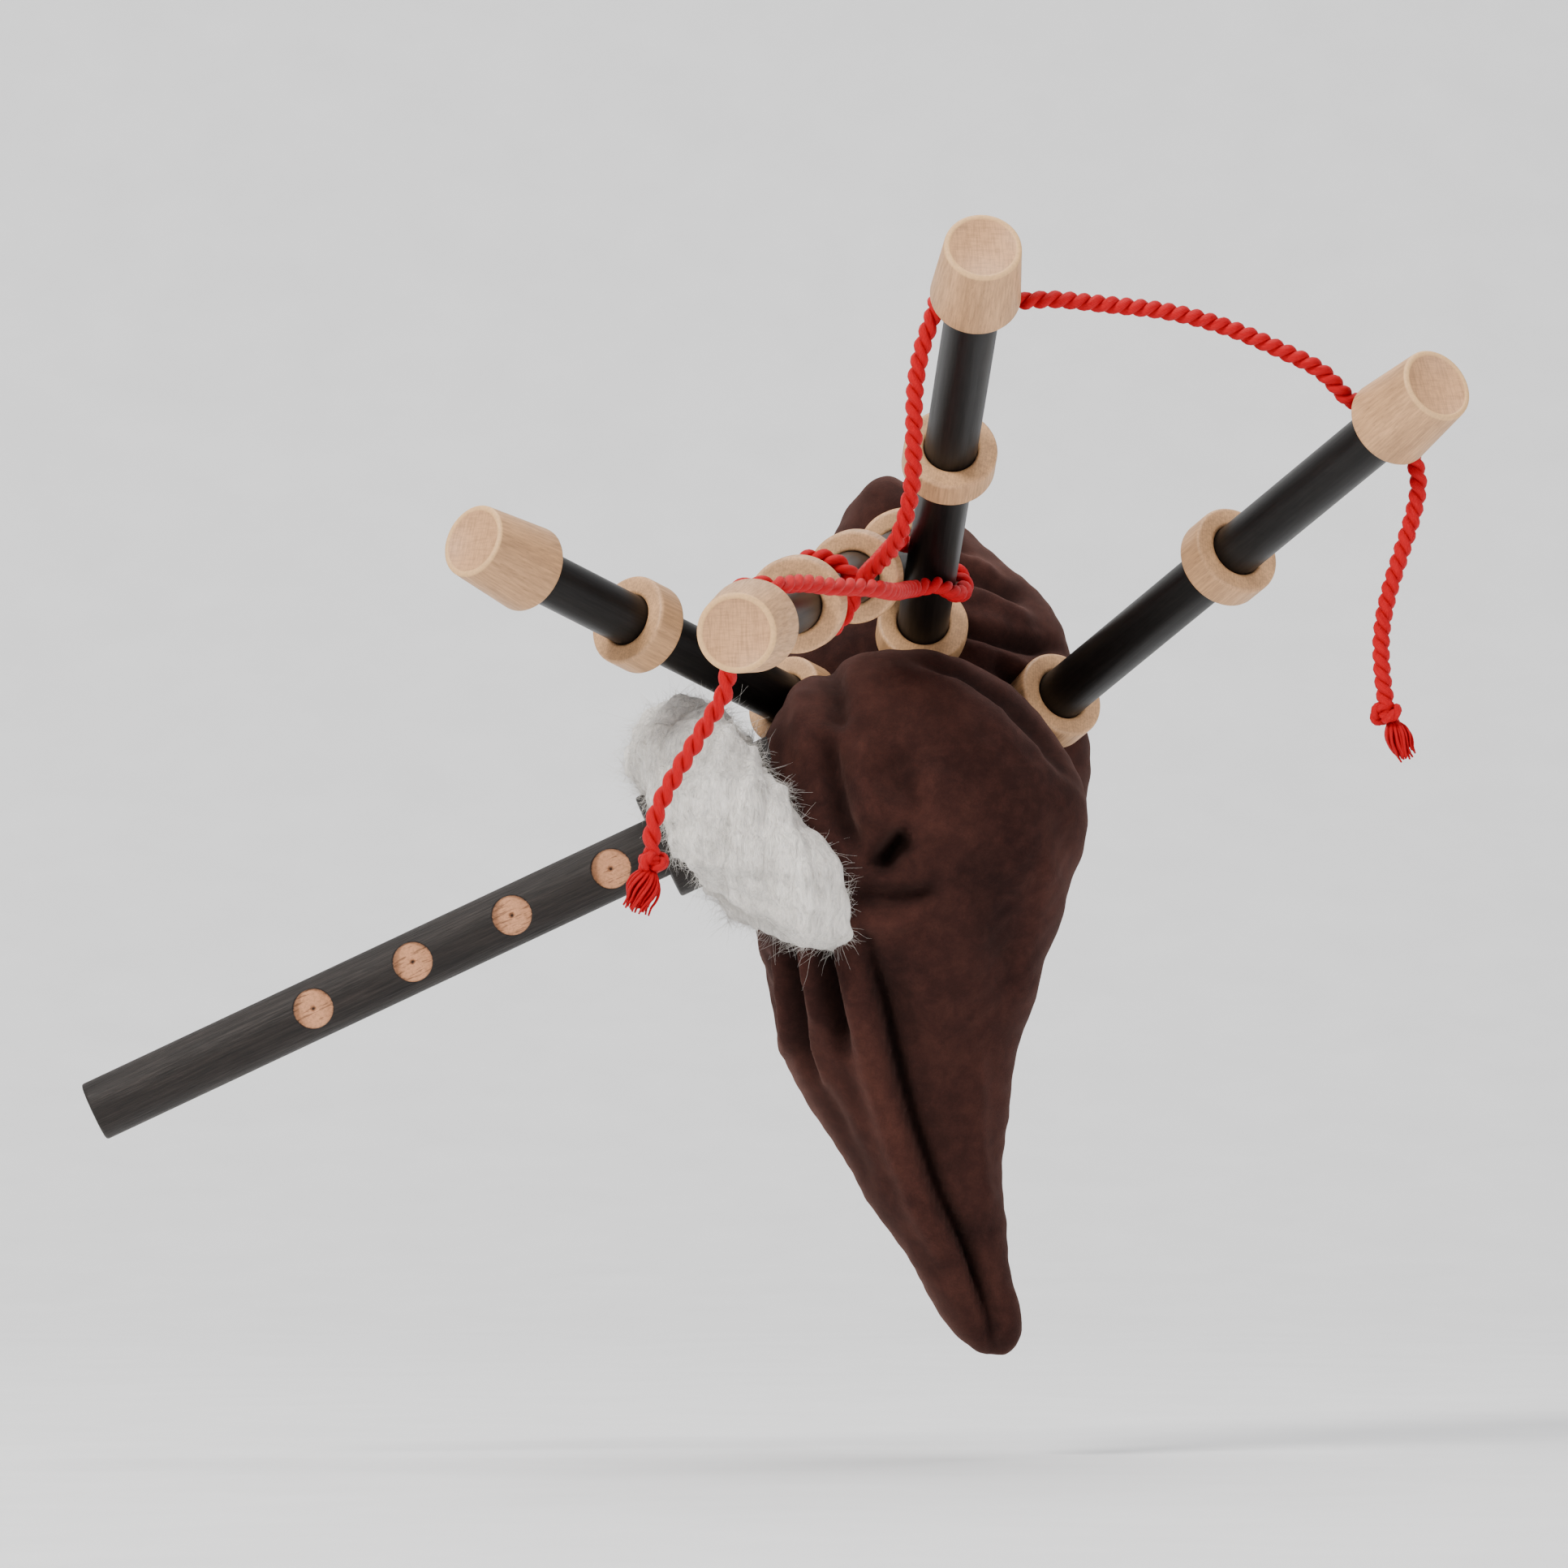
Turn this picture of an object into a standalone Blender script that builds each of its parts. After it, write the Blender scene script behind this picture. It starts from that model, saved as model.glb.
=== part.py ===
"""Miniature bagpipes: a velvet bag with three drones, a blowpipe, a chanter and a twisted cord."""
import math

import bmesh
import bpy
from mathutils import Matrix, Vector

MM = 0.001

# Driving dimensions, in millimetres.
TUBE_R = 3.0            # every black dowel
FIT = 0.06              # radial clearance of a dowel in its bore
RING_R = 5.3            # turned beech ring
RING_LEN = 4.0
STOCK_R = 4.5           # socket sewn inside the bag
STOCK_LEN = 9.0
SOCKET_DEPTH = 8.3
PIN_R = 1.6             # tuning pin on the lower section
CAP_BASE_R = 5.0
CAP_TOP_R = 4.25
CAP_LEN = 10.0
CAP_BORE = 6.5
GAP = 0.3               # air between neighbouring pieces
CHANTER_R = 3.5
CHANTER_END = -65.8     # along the chanter from the top finger hole
CHANTER_TOP = 18.0
HOLE_R = 2.3
HOLE_PITCH = 12.6
HOLE_DEPTH = 1.2
CHSTOCK_R = 6.3
CHSTOCK_FROM = 6.0
CHSTOCK_TO = 30.0
WOOL_R = 14.6
WOOL_THICK = 12.0
CORD_R = 1.0
WRAP_R = TUBE_R + CORD_R + 0.25

# Points and directions are in millimetres, X to the right, Y away and Z up, before the
# whole part is moved so that the held point on the chanter is the origin.
CHANTER_ANGLE = 25.2
CHANTER_DIR = Vector((math.cos(math.radians(CHANTER_ANGLE)), 0, math.sin(math.radians(CHANTER_ANGLE))))
TOP_HOLE = Vector((1.8, -10.0, 21.6))
GRIP = TOP_HOLE + CHANTER_DIR * -49.3
WOOL_CENTRE = Vector((17.6, -10.5, 27.9))
WOOL_ANGLE = 38.0

# name: (centre of the stock ring's outer face, direction, lengths of the dowel sections)
PIPES = {
    "tenor_1": ((38.1, -4.4, 50.6), (0.0465, -0.8846, 0.4641), (38.2, 31.1)),
    "tenor_2": ((54.5, -1.4, 42.3), (0.464, -0.798, 0.385), (38.9, 31.6)),
    "bass": ((36.0, 6.7, 59.1), (-0.1926, -0.972, -0.1344), (35.7, 39.1, 25.8)),
    "blowpipe": ((21.8, -2.2, 41.7), (-0.647, -0.705, 0.290), (28.2, 16.8)),
}
SECTION_NAMES = {2: ("lower", "upper"), 3: ("lower", "middle", "upper")}
PIN_LEN = {"tenor_1": 12.0, "tenor_2": 12.0, "bass": 12.0, "blowpipe": 8.0}

# The bag as level slices: height, low and high x, low and high y.
BAG = (
    (67.8, 33.5, 40.5, 13.0, 23.0),
    (66.4, 31.0, 43.0, 7.5, 27.0),
    (62.5, 28.5, 46.0, 4.0, 29.0),
    (57.0, 25.5, 50.0, 2.0, 30.0),
    (51.0, 22.0, 54.5, 0.0, 30.0),
    (46.5, 20.0, 57.0, -7.0, 29.5),
    (43.5, 19.3, 58.3, -15.5, 29.0),
    (39.0, 18.8, 59.0, -21.0, 28.0),
    (33.0, 18.6, 59.2, -24.0, 27.0),
    (27.0, 18.6, 58.6, -25.0, 26.0),
    (20.5, 18.8, 56.2, -24.0, 24.0),
    (14.0, 18.8, 53.0, -21.0, 21.0),
    (7.0, 19.4, 50.6, -18.0, 17.0),
    (0.0, 22.0, 48.6, -15.5, 13.0),
    (-7.0, 26.0, 47.6, -13.0, 9.0),
    (-14.0, 30.4, 47.3, -11.0, 6.0),
    (-21.0, 34.6, 47.8, -9.5, 3.5),
    (-27.0, 38.0, 48.6, -8.0, 2.0),
    (-32.0, 41.4, 49.8, -7.0, 1.0),
    (-34.6, 44.2, 49.4, -5.5, -0.5),
)
BAG_AROUND = 28
BAG_POWER = 2.3

BEECH = ("beech", (0.66, 0.46, 0.29), 0.5)
BLACK = ("black_stain", (0.012, 0.011, 0.012), 0.38)
EBONY = ("dark_stain", (0.045, 0.036, 0.032), 0.6)
VELVET = ("velvet", (0.055, 0.022, 0.018), 0.9)
WOOL = ("wool", (0.78, 0.74, 0.68), 0.95)
CORD = ("cord", (0.72, 0.02, 0.03), 0.6)


def clear_scene():
    for obj in list(bpy.data.objects):
        bpy.data.objects.remove(obj, do_unlink=True)


def material(spec):
    """A plain material of its own for one node."""
    name, colour, roughness = spec
    mat = bpy.data.materials.new(name)
    mat.use_nodes = True
    shader = mat.node_tree.nodes["Principled BSDF"]
    shader.inputs["Base Color"].default_value = (*colour, 1.0)
    shader.inputs["Roughness"].default_value = roughness
    shader.inputs["Metallic"].default_value = 0.0
    return mat


def collection(name):
    found = bpy.data.collections.get(name)
    if not found:
        found = bpy.data.collections.new(name)
        bpy.context.scene.collection.children.link(found)
    return found


def add_object(name, mesh, place="bagpipes"):
    obj = bpy.data.objects.new(name, mesh)
    collection(place).objects.link(obj)
    return obj


def add_empty(name, matrix):
    obj = bpy.data.objects.new(name, None)
    obj.matrix_world = matrix
    collection("bagpipes").objects.link(obj)
    return obj


def axis_frame(point, direction):
    """The placement, in metres, of an axis through a point: local Z runs along the direction."""
    turn = Vector((0, 0, 1)).rotation_difference(Vector(direction).normalized())
    place = (Vector(point) - GRIP) * MM
    return Matrix.Translation(place) @ turn.to_matrix().to_4x4()


def lathe_mesh(name, profile, steps, closed):
    """A profile of (radius, height) points in millimetres, turned round Z into a solid."""
    bm = bmesh.new()
    verts = [bm.verts.new((r * MM, 0, z * MM)) for r, z in profile]
    for a, b in zip(verts, verts[1:]):
        bm.edges.new((a, b))
    if closed:
        bm.edges.new((verts[-1], verts[0]))
    mesh = bpy.data.meshes.new(name)
    bm.to_mesh(mesh)
    bm.free()
    return mesh


def lathe(name, profile, spec, parent, steps=24, closed=False, place="bagpipes"):
    """Turns a profile that runs from top to bottom on its outer side."""
    obj = add_object(name, lathe_mesh(name, profile, steps, closed), place)
    screw = obj.modifiers.new("turn", "SCREW")
    screw.steps = steps
    screw.render_steps = steps
    screw.angle = 2 * math.pi
    screw.use_merge_vertices = True
    screw.merge_threshold = 0.00001
    screw.use_smooth_shade = True
    if parent:
        obj.parent = parent
    if spec:
        obj.data.materials.append(material(spec))
    return obj


def solid(bottom, top, radius, bevel=0.3):
    """Profile of a plain dowel with eased ends."""
    return [
        (0, top),
        (radius - bevel, top),
        (radius, top - bevel),
        (radius, bottom + bevel),
        (radius - bevel, bottom),
        (0, bottom),
    ]


def ring_profile(outer_face):
    """Profile of a beech ring whose outer face is at that height."""
    top, low, bore = outer_face, outer_face - RING_LEN, TUBE_R + FIT
    return [
        (bore, top),
        (RING_R - 0.4, top),
        (RING_R, top - 0.4),
        (RING_R, low + 0.4),
        (RING_R - 0.4, low),
        (bore, low),
    ]


def stock_profile():
    """Profile of the socket inside the bag, open towards the ring."""
    top, low = -RING_LEN - GAP, -RING_LEN - GAP - STOCK_LEN
    bore = TUBE_R + FIT
    return [
        (0, top - SOCKET_DEPTH),
        (bore, top - SOCKET_DEPTH),
        (bore, top),
        (STOCK_R - 0.2, top),
        (STOCK_R, top - 0.2),
        (STOCK_R, low + 0.5),
        (STOCK_R - 0.5, low),
        (0, low),
    ]


def lower_profile(bottom, shoulder, pin):
    """Profile of a dowel that carries a tuning pin on its upper end."""
    return [
        (0, shoulder + pin),
        (PIN_R - 0.2, shoulder + pin),
        (PIN_R, shoulder + pin - 0.2),
        (PIN_R, shoulder),
        (TUBE_R, shoulder),
        (TUBE_R, bottom + 0.3),
        (TUBE_R - 0.3, bottom),
        (0, bottom),
    ]


def sliding_profile(bottom, top, pin, next_pin=0.0):
    """Profile of a dowel that is bored to slide on a pin; it may carry a pin of its own."""
    bore = PIN_R + 0.05
    head = [(0, top), (TUBE_R - 0.3, top), (TUBE_R, top - 0.3)]
    if next_pin:
        head = lower_profile(bottom, top, next_pin)[:5]
    return head + [
        (TUBE_R, bottom),
        (bore, bottom),
        (bore, bottom + pin + 2.0),
        (0, bottom + pin + 2.0),
    ]


def cap_profile(base):
    """Profile of a tapered cap that is bored from below."""
    top, bore = base + CAP_LEN, TUBE_R + FIT
    return [
        (0, top - 0.15),
        (CAP_TOP_R - 0.75, top - 0.15),
        (CAP_TOP_R - 0.6, top),
        (CAP_TOP_R - 0.35, top),
        (CAP_TOP_R, top - 0.35),
        (CAP_BASE_R, base + 0.3),
        (CAP_BASE_R - 0.3, base),
        (bore, base),
        (bore, base + CAP_BORE),
        (0, base + CAP_BORE),
    ]


def blowpipe_cap_profile(base):
    """The mouthpiece is the same cap, with a plain flat end."""
    return [(0, base + CAP_LEN), (CAP_TOP_R - 0.35, base + CAP_LEN)] + cap_profile(base)[4:]


def build_pipe(name):
    point, direction, lengths = PIPES[name]
    frame = axis_frame(point, direction)
    fixed = add_empty(name + "_stock_axis", frame)
    turning = add_empty(name + "_turn_axis", frame)
    names = SECTION_NAMES[len(lengths)]
    pin = PIN_LEN[name]
    lathe(name + "_stock", stock_profile(), EBONY, fixed)
    lathe(name + "_stock_ring", ring_profile(0.0), BEECH, fixed, closed=True)
    bottom, outer = -RING_LEN - GAP - SOCKET_DEPTH + GAP, 0.0
    for i, (section, length) in enumerate(zip(names, lengths)):
        outer += length
        first, last = i == 0, i == len(lengths) - 1
        holder = turning if first else add_empty(name + "_" + section + "_slide_axis", frame)
        shoulder = outer - RING_LEN / 2 - 0.2
        if first:
            profile = lower_profile(bottom, shoulder, pin)
        elif last:
            profile = sliding_profile(bottom, outer + CAP_BORE - GAP, pin)
        else:
            profile = sliding_profile(bottom, shoulder, pin, pin)
        lathe(name + "_" + section + "_tube", profile, BLACK, holder)
        if last:
            top = blowpipe_cap_profile(outer) if name == "blowpipe" else cap_profile(outer)
            title = "_mouthpiece" if name == "blowpipe" else "_cap"
            lathe(name + title, top, BEECH, holder, steps=32)
        else:
            ring = ring_profile(outer)
            lathe(name + "_" + section + "_ring", ring, BEECH, holder, closed=True)
        bottom = shoulder + 0.2


def loft_bag():
    """Level slices of rounded outline joined into one closed solid."""
    bm = bmesh.new()
    rings = []
    for z, x0, x1, y0, y1 in BAG:
        ring = []
        for k in range(BAG_AROUND):
            a = 2 * math.pi * k / BAG_AROUND
            c, s = math.cos(a), math.sin(a)
            x = (x0 + x1) / 2 + (x1 - x0) / 2 * math.copysign(abs(c) ** (2 / BAG_POWER), c)
            y = (y0 + y1) / 2 + (y1 - y0) / 2 * math.copysign(abs(s) ** (2 / BAG_POWER), s)
            ring.append(bm.verts.new((Vector((x, y, z)) - GRIP) * MM))
        rings.append(ring)
    for upper, lower in zip(rings, rings[1:]):
        for k in range(BAG_AROUND):
            n = (k + 1) % BAG_AROUND
            bm.faces.new((upper[k], lower[k], lower[n], upper[n]))
    bm.faces.new(rings[0])
    bm.faces.new(list(reversed(rings[-1])))
    bmesh.ops.recalc_face_normals(bm, faces=bm.faces)
    mesh = bpy.data.meshes.new("bag")
    bm.to_mesh(mesh)
    bm.free()
    return mesh


def cut(obj, cutter, label):
    """Takes the cutter's shape out of the object and hides the cutter."""
    boolean = obj.modifiers.new(label, "BOOLEAN")
    boolean.operation = "DIFFERENCE"
    boolean.solver = "EXACT"
    boolean.object = cutter
    cutter.hide_render = True
    cutter.display_type = "WIRE"


def pipe_cutter(name):
    """The room of a stock, its ring and the first stretch of its pipe."""
    point, direction, _ = PIPES[name]
    frame = add_empty(name + "_cut_axis", axis_frame(point, direction))
    step, low = -RING_LEN - GAP, -RING_LEN - GAP - STOCK_LEN - GAP
    profile = [
        (0, 16.0),
        (RING_R + GAP, 16.0),
        (RING_R + GAP, step),
        (STOCK_R + GAP, step),
        (STOCK_R + GAP, low),
        (0, low),
    ]
    return lathe("cut_" + name, profile, None, frame, place="cutters")


def chanter_axis():
    return axis_frame(TOP_HOLE, CHANTER_DIR)


def wool_axis():
    a = math.radians(WOOL_ANGLE)
    return axis_frame(WOOL_CENTRE, (math.cos(a), 0, math.sin(a)))


def build_bag_group():
    bag = add_object("bag", loft_bag())
    bag.data.materials.append(material(VELVET))
    for polygon in bag.data.polygons:
        polygon.use_smooth = True
    for name in PIPES:
        cut(bag, pipe_cutter(name), "seat_" + name)

    fixed = add_empty("chanter_stock_axis", chanter_axis())
    bore = CHANTER_R + FIT
    profile = [
        (0, CHSTOCK_TO),
        (CHSTOCK_R - 0.5, CHSTOCK_TO),
        (CHSTOCK_R, CHSTOCK_TO - 0.5),
        (CHSTOCK_R, CHSTOCK_FROM + 0.5),
        (CHSTOCK_R - 0.5, CHSTOCK_FROM),
        (bore, CHSTOCK_FROM),
        (bore, CHANTER_TOP + GAP),
        (0, CHANTER_TOP + GAP),
    ]
    lathe("chanter_stock", profile, EBONY, fixed, steps=32)
    around = solid(CHSTOCK_FROM - 8, CHSTOCK_TO + GAP, CHSTOCK_R + GAP, 0.1)
    room = lathe("cut_chanter_stock", around, None, fixed, steps=32, place="cutters")
    cut(bag, room, "seat_chanter_stock")

    half = WOOL_THICK / 2
    profile = [
        (5.0, half - 1.0),
        (9.0, half),
        (WOOL_R - 3.0, half - 1.0),
        (WOOL_R, half * 0.45),
        (WOOL_R, -half * 0.45),
        (WOOL_R - 3.0, -half + 1.0),
        (9.0, -half),
        (5.0, -half + 1.0),
    ]
    around_neck = add_empty("wool_axis", wool_axis())
    wool = lathe("wool_collar", profile, WOOL, around_neck, steps=28, closed=True)
    cut(wool, room, "seat_chanter_stock")
    block = solid(-half - 0.6, half + GAP, WOOL_R + GAP, 0.1)
    cut(bag, lathe("cut_wool", block, None, around_neck, steps=28, place="cutters"), "seat_wool")


def build_chanter():
    turning = add_empty("chanter_turn_axis", chanter_axis())
    profile = solid(CHANTER_END, CHANTER_TOP, CHANTER_R, 0.4)
    chanter = lathe("chanter", profile, EBONY, turning, steps=48)
    inverse = turning.matrix_world.to_3x3().inverted()
    front = (inverse @ Vector((0, -1, 0))).normalized()
    for k in range(4):
        bm = bmesh.new()
        bmesh.ops.create_cone(
            bm, cap_ends=True, segments=20, radius1=HOLE_R * MM, radius2=HOLE_R * MM, depth=4 * MM
        )
        mesh = bpy.data.meshes.new("cut_hole")
        bm.to_mesh(mesh)
        bm.free()
        hole = add_object("cut_hole_%d" % (k + 1), mesh, "cutters")
        hole.parent = turning
        reach = (CHANTER_R - HOLE_DEPTH + 2.0) * MM
        hole.location = front * reach + Vector((0, 0, -k * HOLE_PITCH * MM))
        hole.rotation_mode = "QUATERNION"
        hole.rotation_quaternion = Vector((0, 0, 1)).rotation_difference(front)
        cut(chanter, hole, "hole_%d" % (k + 1))


def pipe_axes(name):
    """A pipe's start, direction, and its right-hand and upper sides."""
    point, direction, _ = PIPES[name]
    along = Vector(direction).normalized()
    right = Vector((0, 0, 1)).cross(along).normalized()
    return Vector(point), along, right, along.cross(right)


def wrap(name, start, end, first, last, count, middle=None):
    """Points of the cord round a pipe, from one distance and angle to another; the distance is drawn
    towards the middle one on the way."""
    point, along, right, up = pipe_axes(name)
    found = []
    for i in range(count):
        f = i / (count - 1)
        a = math.radians(first + (last - first) * f)
        side = right * math.cos(a) + up * math.sin(a)
        pull = (start + end) / 2 if middle is None else middle
        away = (1 - f) ** 2 * start + 2 * f * (1 - f) * pull + f**2 * end
        found.append(point + along * away + side * WRAP_R)
    return found


def cord_points():
    """The cord's route, from the knot under the bass cap to the knot under the right-hand cap."""
    to_bass_top = (
        (6.0, -84.0, 21.5),
        (6.0, -84.0, 24.2),
        (6.9, -84.3, 27.0),
        (9.0, -85.0, 30.8),
        (11.6, -86.0, 35.0),
        (14.0, -87.6, 39.4),
    )
    to_first_tenor = (
        (21.9, -83.0, 50.5),
        (25.3, -75.0, 50.6),
        (28.2, -67.0, 51.0),
        (30.8, -60.0, 51.2),
        (32.4, -52.0, 51.4),
        (33.8, -41.0, 52.0),
        (35.2, -30.5, 52.8),
        (36.8, -23.2, 53.4),
    )
    to_bass_middle = ((34.5, -26.5, 58.8), (32.9, -34.0, 57.0), (30.9, -43.0, 54.6))
    to_first_cap = (
        (28.2, -54.9, 50.0),
        (29.4, -55.6, 52.6),
        (31.6, -58.5, 54.6),
        (33.3, -62.0, 57.2),
        (34.5, -63.5, 62.0),
        (34.7, -64.2, 67.8),
        (34.8, -64.5, 72.8),
        (35.6, -64.4, 77.4),
    )
    to_second_cap = (
        (49.5, -64.2, 82.7),
        (56.5, -62.5, 82.2),
        (63.0, -61.0, 81.6),
        (69.5, -59.5, 80.0),
        (75.5, -58.2, 77.6),
        (80.0, -57.3, 75.4),
    )
    to_end = (
        (90.9, -54.6, 63.6),
        (90.2, -54.4, 59.6),
        (88.8, -54.3, 55.2),
        (87.4, -54.3, 50.6),
        (86.7, -54.2, 46.4),
        (86.8, -54.0, 42.6),
        (87.3, -53.8, 38.6),
    )
    route = [Vector(p) for p in to_bass_top]
    route += wrap("bass", 99.0, 98.0, 215, 68, 6)
    route += [Vector(p) for p in to_first_tenor]
    route += wrap("tenor_1", 15.3, 18.8, 276, 545, 12, -2.0)
    route += [Vector(p) for p in to_bass_middle]
    route += wrap("bass", 58.5, 64.6, 22, 318, 11)
    route += [Vector(p) for p in to_first_cap]
    route += wrap("tenor_1", 67.3, 67.3, 185, 12, 6)
    route += [Vector(p) for p in to_second_cap]
    route += wrap("tenor_2", 68.4, 68.4, 122, -22, 6)
    route += [Vector(p) for p in to_end]
    return route


def build_cord():
    line = cord_points()
    curve = bpy.data.curves.new("cord", "CURVE")
    curve.dimensions = "3D"
    curve.bevel_depth = CORD_R * MM
    curve.bevel_resolution = 2
    curve.use_fill_caps = True
    spline = curve.splines.new("POLY")
    spline.points.add(len(line) - 1)
    for place, point in zip(spline.points, line):
        place.co = (*((point - GRIP) * MM), 1.0)
    obj = add_object("cord", curve)
    obj.data.materials.append(material(CORD))
    heading = (line[0] - line[1]).normalized()
    knot_a = line[0] + heading * (CORD_R + GAP)
    frame = add_empty("knot_a_axis", axis_frame(knot_a, heading))
    tail = [(0, 5.6), (1.2, 5.3), (1.75, 4.3), (1.3, 2.6), (1.0, 1.7), (1.4, 0.9), (1.1, -0.6), (0, -0.9)]
    lathe("cord_bass_knot", tail, CORD, frame, steps=14)
    heading = (line[-1] - line[-2]).normalized()
    knot_b = line[-1] + heading * (CORD_R + GAP)
    frame = add_empty("knot_b_axis", axis_frame(knot_b, heading))
    tail = [(0, 4.6), (0.8, 4.4), (1.1, 3.4), (0.9, 1.9), (1.5, 0.9), (1.2, -0.5), (0, -0.9)]
    lathe("cord_tenor_knot", tail, CORD, frame, steps=14)


def main():
    clear_scene()
    for name in PIPES:
        build_pipe(name)
    build_bag_group()
    build_chanter()
    build_cord()


main()
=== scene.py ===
"""Looks of the miniature bagpipes: turned beech, black dowels, velvet bag, wool collar and twisted cord."""
import math

import bpy
import numpy as np
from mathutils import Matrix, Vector


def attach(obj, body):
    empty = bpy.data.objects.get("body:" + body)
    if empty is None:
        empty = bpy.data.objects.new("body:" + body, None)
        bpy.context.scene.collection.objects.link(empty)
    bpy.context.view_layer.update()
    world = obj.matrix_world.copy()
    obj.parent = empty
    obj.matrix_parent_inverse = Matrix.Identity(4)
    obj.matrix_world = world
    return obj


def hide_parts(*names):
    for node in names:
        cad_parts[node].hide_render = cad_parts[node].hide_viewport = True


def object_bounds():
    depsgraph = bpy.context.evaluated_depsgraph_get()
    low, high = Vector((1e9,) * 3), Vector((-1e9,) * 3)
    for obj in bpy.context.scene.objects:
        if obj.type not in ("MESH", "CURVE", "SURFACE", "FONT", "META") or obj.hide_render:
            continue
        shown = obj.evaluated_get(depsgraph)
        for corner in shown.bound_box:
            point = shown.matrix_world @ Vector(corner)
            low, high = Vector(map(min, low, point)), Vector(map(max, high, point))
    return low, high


bl_info = {
    "name": "Miniature bagpipes",
    "version": (1, 0, 0),
    "blender": (4, 5, 0),
    "location": "View3D > Sidebar > Bagpipes",
    "description": "Makes the pieces and finishes of a miniature set of bagpipes",
    "category": "Add Mesh",
}

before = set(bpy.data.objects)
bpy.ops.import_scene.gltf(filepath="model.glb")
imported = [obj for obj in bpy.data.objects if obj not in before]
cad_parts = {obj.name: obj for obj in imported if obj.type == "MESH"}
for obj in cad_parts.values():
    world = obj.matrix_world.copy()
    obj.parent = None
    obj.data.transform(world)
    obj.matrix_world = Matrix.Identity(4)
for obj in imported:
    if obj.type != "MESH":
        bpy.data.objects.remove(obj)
CAD_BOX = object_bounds()
MM = 0.001

# Places are in millimetres, X right, Y away and Z up, before the held point becomes the origin.
SLOPE = math.radians(25.2)
CHANTER_DIR = np.array((math.cos(SLOPE), 0.0, math.sin(SLOPE)))
TOP_HOLE = np.array((1.8, -10.0, 21.6))
GRIP = TOP_HOLE - 49.3 * CHANTER_DIR
PIPES = {
    "tenor_1": ((38.1, -4.4, 50.6), (0.0465, -0.8846, 0.4641), (38.2, 31.1)),
    "tenor_2": ((54.5, -1.4, 42.3), (0.464, -0.798, 0.385), (38.9, 31.6)),
    "bass": ((36.0, 6.7, 59.1), (-0.1926, -0.972, -0.1344), (35.7, 39.1, 25.8)),
    "blowpipe": ((21.8, -2.2, 41.7), (-0.647, -0.705, 0.290), (28.2, 16.8)),
}
SECTIONS = {2: ("lower", "upper"), 3: ("lower", "middle", "upper")}
PIN_LEN = {"tenor_1": 12.0, "tenor_2": 12.0, "bass": 12.0, "blowpipe": 8.0}
PIN_RADIUS, PIN_BORE = 1.6, 1.65  # a tuning pin and the hole that slides on it
PIN_SPARE = 2.0  # depth of that hole past the pin's end
RING_EASE = 0.04  # air between a dowel and the ring or cap on it
AIR = 0.2  # between the ends of two dowels, which meet in the middle of a ring
SOCKET_IN, SOCKET_OUT = 3.06, 4.5  # radii of a socket inside the bag
SOCKET_TOP, SOCKET_FLOOR, SOCKET_BACK = -4.3, -12.6, -13.3  # from the stock ring's outer face
DOWEL_FOOT = -12.3  # lower end of the first dowel, in its socket
DOWEL_IN_CAP = 6.2  # how far the last dowel goes into its cap


# Sizes and colours

def length(name, text, value):
    return bpy.props.FloatProperty(name=name, description=text, default=value, unit="LENGTH", precision=5)


def colour(name, text, value):
    return bpy.props.FloatVectorProperty(
        name=name, description=text, default=value, subtype="COLOR", size=3, min=0, max=1
    )


class BAGPIPES_PG_pipes(bpy.types.PropertyGroup):
    tube: length("Dowel radius", "Radius of every black dowel", 0.003)
    ring: length("Ring radius", "Outer radius of the turned rings", 0.0053)
    ring_length: length("Ring length", "Length of a ring along its pipe", 0.004)
    cap_base: length("Cap base radius", "Radius of a cap where it meets its dowel", 0.005)
    cap_top: length("Cap top radius", "Radius of a cap at its free end", 0.00425)
    cap_length: length("Cap length", "Length of a tapered cap", 0.010)
    wood: colour("Beech", "Colour of the turned beech", (0.585, 0.322, 0.152))
    stain: colour("Black stain", "Colour of the stained dowels", (0.0036, 0.0028, 0.0025))


class BAGPIPES_PG_chanter(bpy.types.PropertyGroup):
    radius: length("Chanter radius", "Radius of the chanter", 0.0035)
    hole: length("Hole radius", "Radius of a finger hole", 0.0023)
    pitch: length("Hole pitch", "Distance between finger holes", 0.0126)
    depth: length("Hole depth", "Depth of a finger hole below the crest", 0.0010)
    stain: colour("Brown-black stain", "Colour of the chanter", (0.0175, 0.0125, 0.0102))
    bare: colour("Bare wood", "Colour of the bottoms of the holes", (0.56, 0.262, 0.132))


class BAGPIPES_PG_bag(bpy.types.PropertyGroup):
    voxel: length("Skin grid", "Grid size of the bag's skin", 0.0006)
    velvet: colour("Velvet", "Colour of the pile", (0.0185, 0.0058, 0.0045))
    brushed: colour("Brushed velvet", "Colour where the pile lies over", (0.052, 0.0175, 0.0125))
    wool: colour("Wool", "Colour of the collar", (0.90, 0.85, 0.785))
    fibres: bpy.props.IntProperty(name="Fibres", description="Loose wool fibres in a layer", default=5200)


class BAGPIPES_PG_cord(bpy.types.PropertyGroup):
    radius: length("Cord radius", "Outer radius of the twisted cord", 0.001)
    lay: length("Length of lay", "Length in which a strand goes round once", 0.0043)
    red: colour("Cord", "Colour of the cord", (0.62, 0.0012, 0.010))


# Geometry helpers

def unit(v):
    v = np.asarray(v, float)
    return v / np.linalg.norm(v)


def place(points):
    """Millimetres in the drawing frame to metres from the held point."""
    return (np.asarray(points, float) - GRIP) * MM


def axes_of(direction):
    """Right-hand side, upper side and direction of a pipe, as rows."""
    along = unit(direction)
    right = unit(np.cross((0, 0, 1), along))
    return np.array((right, np.cross(along, right), along))


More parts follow.
